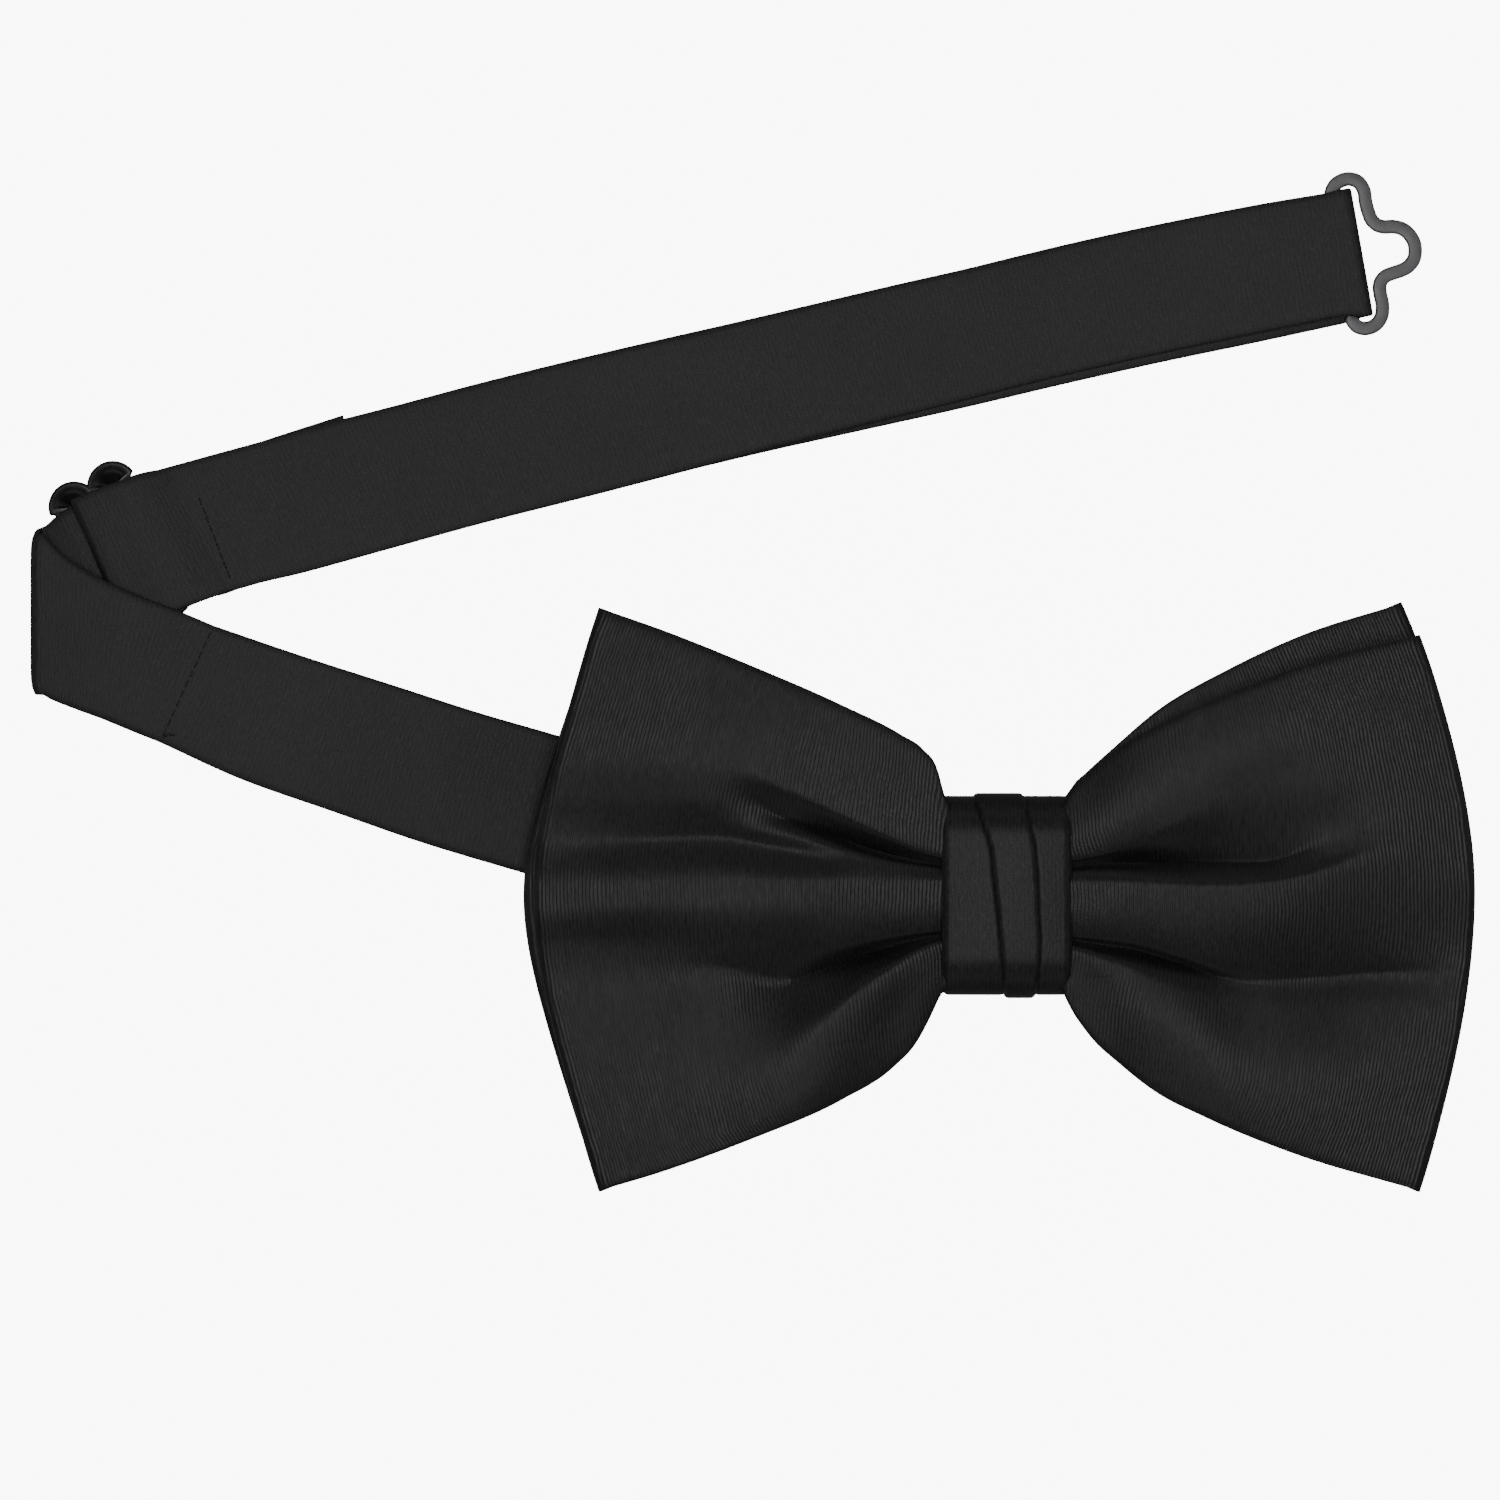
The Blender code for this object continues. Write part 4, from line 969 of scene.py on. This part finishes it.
def eye():
    """The band's eye: a wire bent into rounded ends and a rounded nose, its bar inside the band's end."""
    outline = [(0, 0), (0, 4), (0, 6.6), (0.2, 8.2), (1.05, 9.45), (2.6, 9.9), (3.95, 9.35),
               (4.53, 8.1), (4.5, 6.6), (4.6, 5.4), (4.85, 4.25), (5.5, 3.4), (6.4, 3.02), (7.35, 2.9),
               (8.5, 2.45), (9.3, 1.6), (9.75, 0.5), (9.75, -0.6), (9.35, -1.7), (8.45, -2.5),
               (7.35, -2.85), (6.3, -3), (5.3, -3.25), (4.65, -3.8), (4.35, -4.5), (4.3, -5.25),
               (4.33, -6.8), (4, -8.1), (3.15, -9.05), (1.9, -9.4), (0.7, -9), (0.1, -8), (0, -6.6), (0, -4)]
    obj = flat_wire("band_eye", outline, 1.8, 0.7)
    # The bar is slimmer between the strap's edges.
    for vertex in obj.data.vertices:
        if vertex.co.x < 1.15 * MM:
            strap_edge = 8.7 if vertex.co.y > 0 else 8.0
            inside = 1 - float(smooth((abs(vertex.co.y) / MM - strap_edge + 0.6) / 0.6))
            vertex.co.x *= 1 - 0.55 * inside
    obj.location = Vector((*EYE_BAR, 1.6)) * MM
    obj.rotation_euler = (0, math.radians(4.5), EYE_HEADING)
    paint(obj, STEEL)
    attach(obj, "clasp")
    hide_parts("clasp_eye")


def adjuster():
    """Two long wire loops side by side, whose inner sides make the middle bar."""
    half = 2.1
    loop = [(half, 0), (half, 4.0), (half, 7.2), (1.7, 8.0)] + arc(0, 8.6, 1.45, 0, 180, 10)
    loop += [(-1.7, 8.0), (-half, 7.2), (-half, 4.0), (-half, 0), (-half, -4.0)]
    loop += arc(0, -7.2, half, 180, 360, 10) + [(half, -4.0)]
    for side, name in ((-1, "adjuster_loop_left"), (1, "adjuster_loop_right")):
        obj = flat_wire(name, [(x + side * 2.8, y) for x, y in loop], 1.2, 0.9, wide_end=2.55)
        obj.location = Vector((*ADJUSTER, 2.15)) * MM
        obj.rotation_euler = (0, 0, ADJUSTER_HEADING)
        paint(obj, LACQUER)
        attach(obj, "adjuster")
        if side < 0:
            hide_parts("adjuster_slide")


# ---------------------------------------------------------------- back of the knot

TAB_HALF_WIDTH = 5.45
TAB_THICKNESS = 0.45
HOOK_BAR = (21.1, 1.55)


def hook_tab():
    """The narrow tab from inside the knot, round the hook's bar and back to the knot's side."""
    route = [(1.5, 1.6), (9.0, 1.6), (13.0, 0.95), (17.0, 0.64), (19.4, 0.6)]
    route += arc(*HOOK_BAR, 0.95, -90, 90, 12)
    route += [(19.4, 2.5), (16.0, 2.56), (13.2, 2.74), (11.0, 2.8)]
    rows = [strap_row((x, -TAB_HALF_WIDTH), (x, TAB_HALF_WIDTH), z) for x, z in path_points(route, 90)]
    obj, length = strap_piece("hook_tab_strap", np.array(rows), TAB_THICKNESS, ("hook_tab",))
    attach(obj, "bow")


def dress_cad_nodes():
    """Nodes whose own shape is right get their finish."""
    finishes = {"neck_hook": STEEL, "gather_thread": THREAD, "hook_tab_stitch": THREAD}
    for name, material in finishes.items():
        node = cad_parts[name]
        node.data.materials.clear()
        node.data.materials.append(material)


# ---------------------------------------------------------------- stage

FLOOR_Z = -0.45
LIT_POINT = Vector((-0.03, 0.015, 0))


def area_light(name, location, size, power):
    """A rectangular light that faces the object."""
    light = bpy.data.lights.new(name, "AREA")
    light.energy = power
    light.size = size[0]
    light.size_y = size[1]
    light.shape = "RECTANGLE"
    obj = linked(name, light)
    obj.location = location
    obj.rotation_euler = (LIT_POINT - Vector(location)).to_track_quat("-Z", "Y").to_euler()


def stage():
    """The floor, the surrounding light and the lamps."""
    # Low enough that the band's lowest pose hangs free of it; it glows evenly, so it takes no shadow.
    bpy.ops.mesh.primitive_plane_add(size=80.0, location=(0, 0, FLOOR_Z))
    floor = bpy.context.object
    floor.name = "floor"
    material = bpy.data.materials.new("floor")
    material.use_nodes = True
    shader = material.node_tree.nodes["Principled BSDF"]
    shader.inputs["Base Color"].default_value = (0.93, 0.93, 0.93, 1)
    shader.inputs["Roughness"].default_value = 0.9
    shader.inputs["Specular IOR Level"].default_value = 0.1
    shader.inputs["Emission Color"].default_value = (1, 1, 1, 1)
    shader.inputs["Emission Strength"].default_value = 9.0
    paint(floor, material)
    floor.visible_diffuse = False
    floor.visible_glossy = False
    world = bpy.data.worlds.new("world")
    world.use_nodes = True
    background = world.node_tree.nodes["Background"]
    background.inputs["Color"].default_value = (1, 1, 1, 1)
    background.inputs["Strength"].default_value = 0.10
    bpy.context.scene.world = world
    area_light("overhead", (-0.03, 0.03, 1.5), (0.7, 0.6), 7.3)
    away, height = 1.4, 0.62
    area_light("far_side", (-0.03, away, height), (2.0, 0.5), 2.2)
    area_light("near_side", (-0.03, -away, height), (2.0, 0.5), 2.2)
    area_light("left_side", (-away, 0.1, height), (0.5, 2.0), 2.0)
    area_light("right_side", (away, 0.1, height), (0.5, 2.0), 2.0)


def camera():
    """Straight above, looking down, with the object's +Y up."""
    data = bpy.data.cameras.new("camera")
    data.lens = 180.0
    data.sensor_width = 36.0
    view_width, sharp_height = 0.19125, 0.006
    distance = view_width * data.lens / data.sensor_width
    data.clip_start = 0.05
    data.clip_end = 120.0
    obj = linked("camera", data)
    obj.location = (-0.0325, 0.0185, distance + sharp_height)
    bpy.context.scene.camera = obj


stage()
camera()
front_bow = bow_loop("front_bow", FRONT_WINGS, {-1: LEFT_LINES, 1: RIGHT_LINES}, (None, "front_back"))
back_bow = bow_loop("back_bow", BACK_WINGS, None, ("back_front", "back_back"))
knot_wrap()
lower_band()
fold_strap()
weave_strap()
loop_strap()
seam_stitches()
wrap_stitches()
eye()
adjuster()
hook_tab()
dress_cad_nodes()
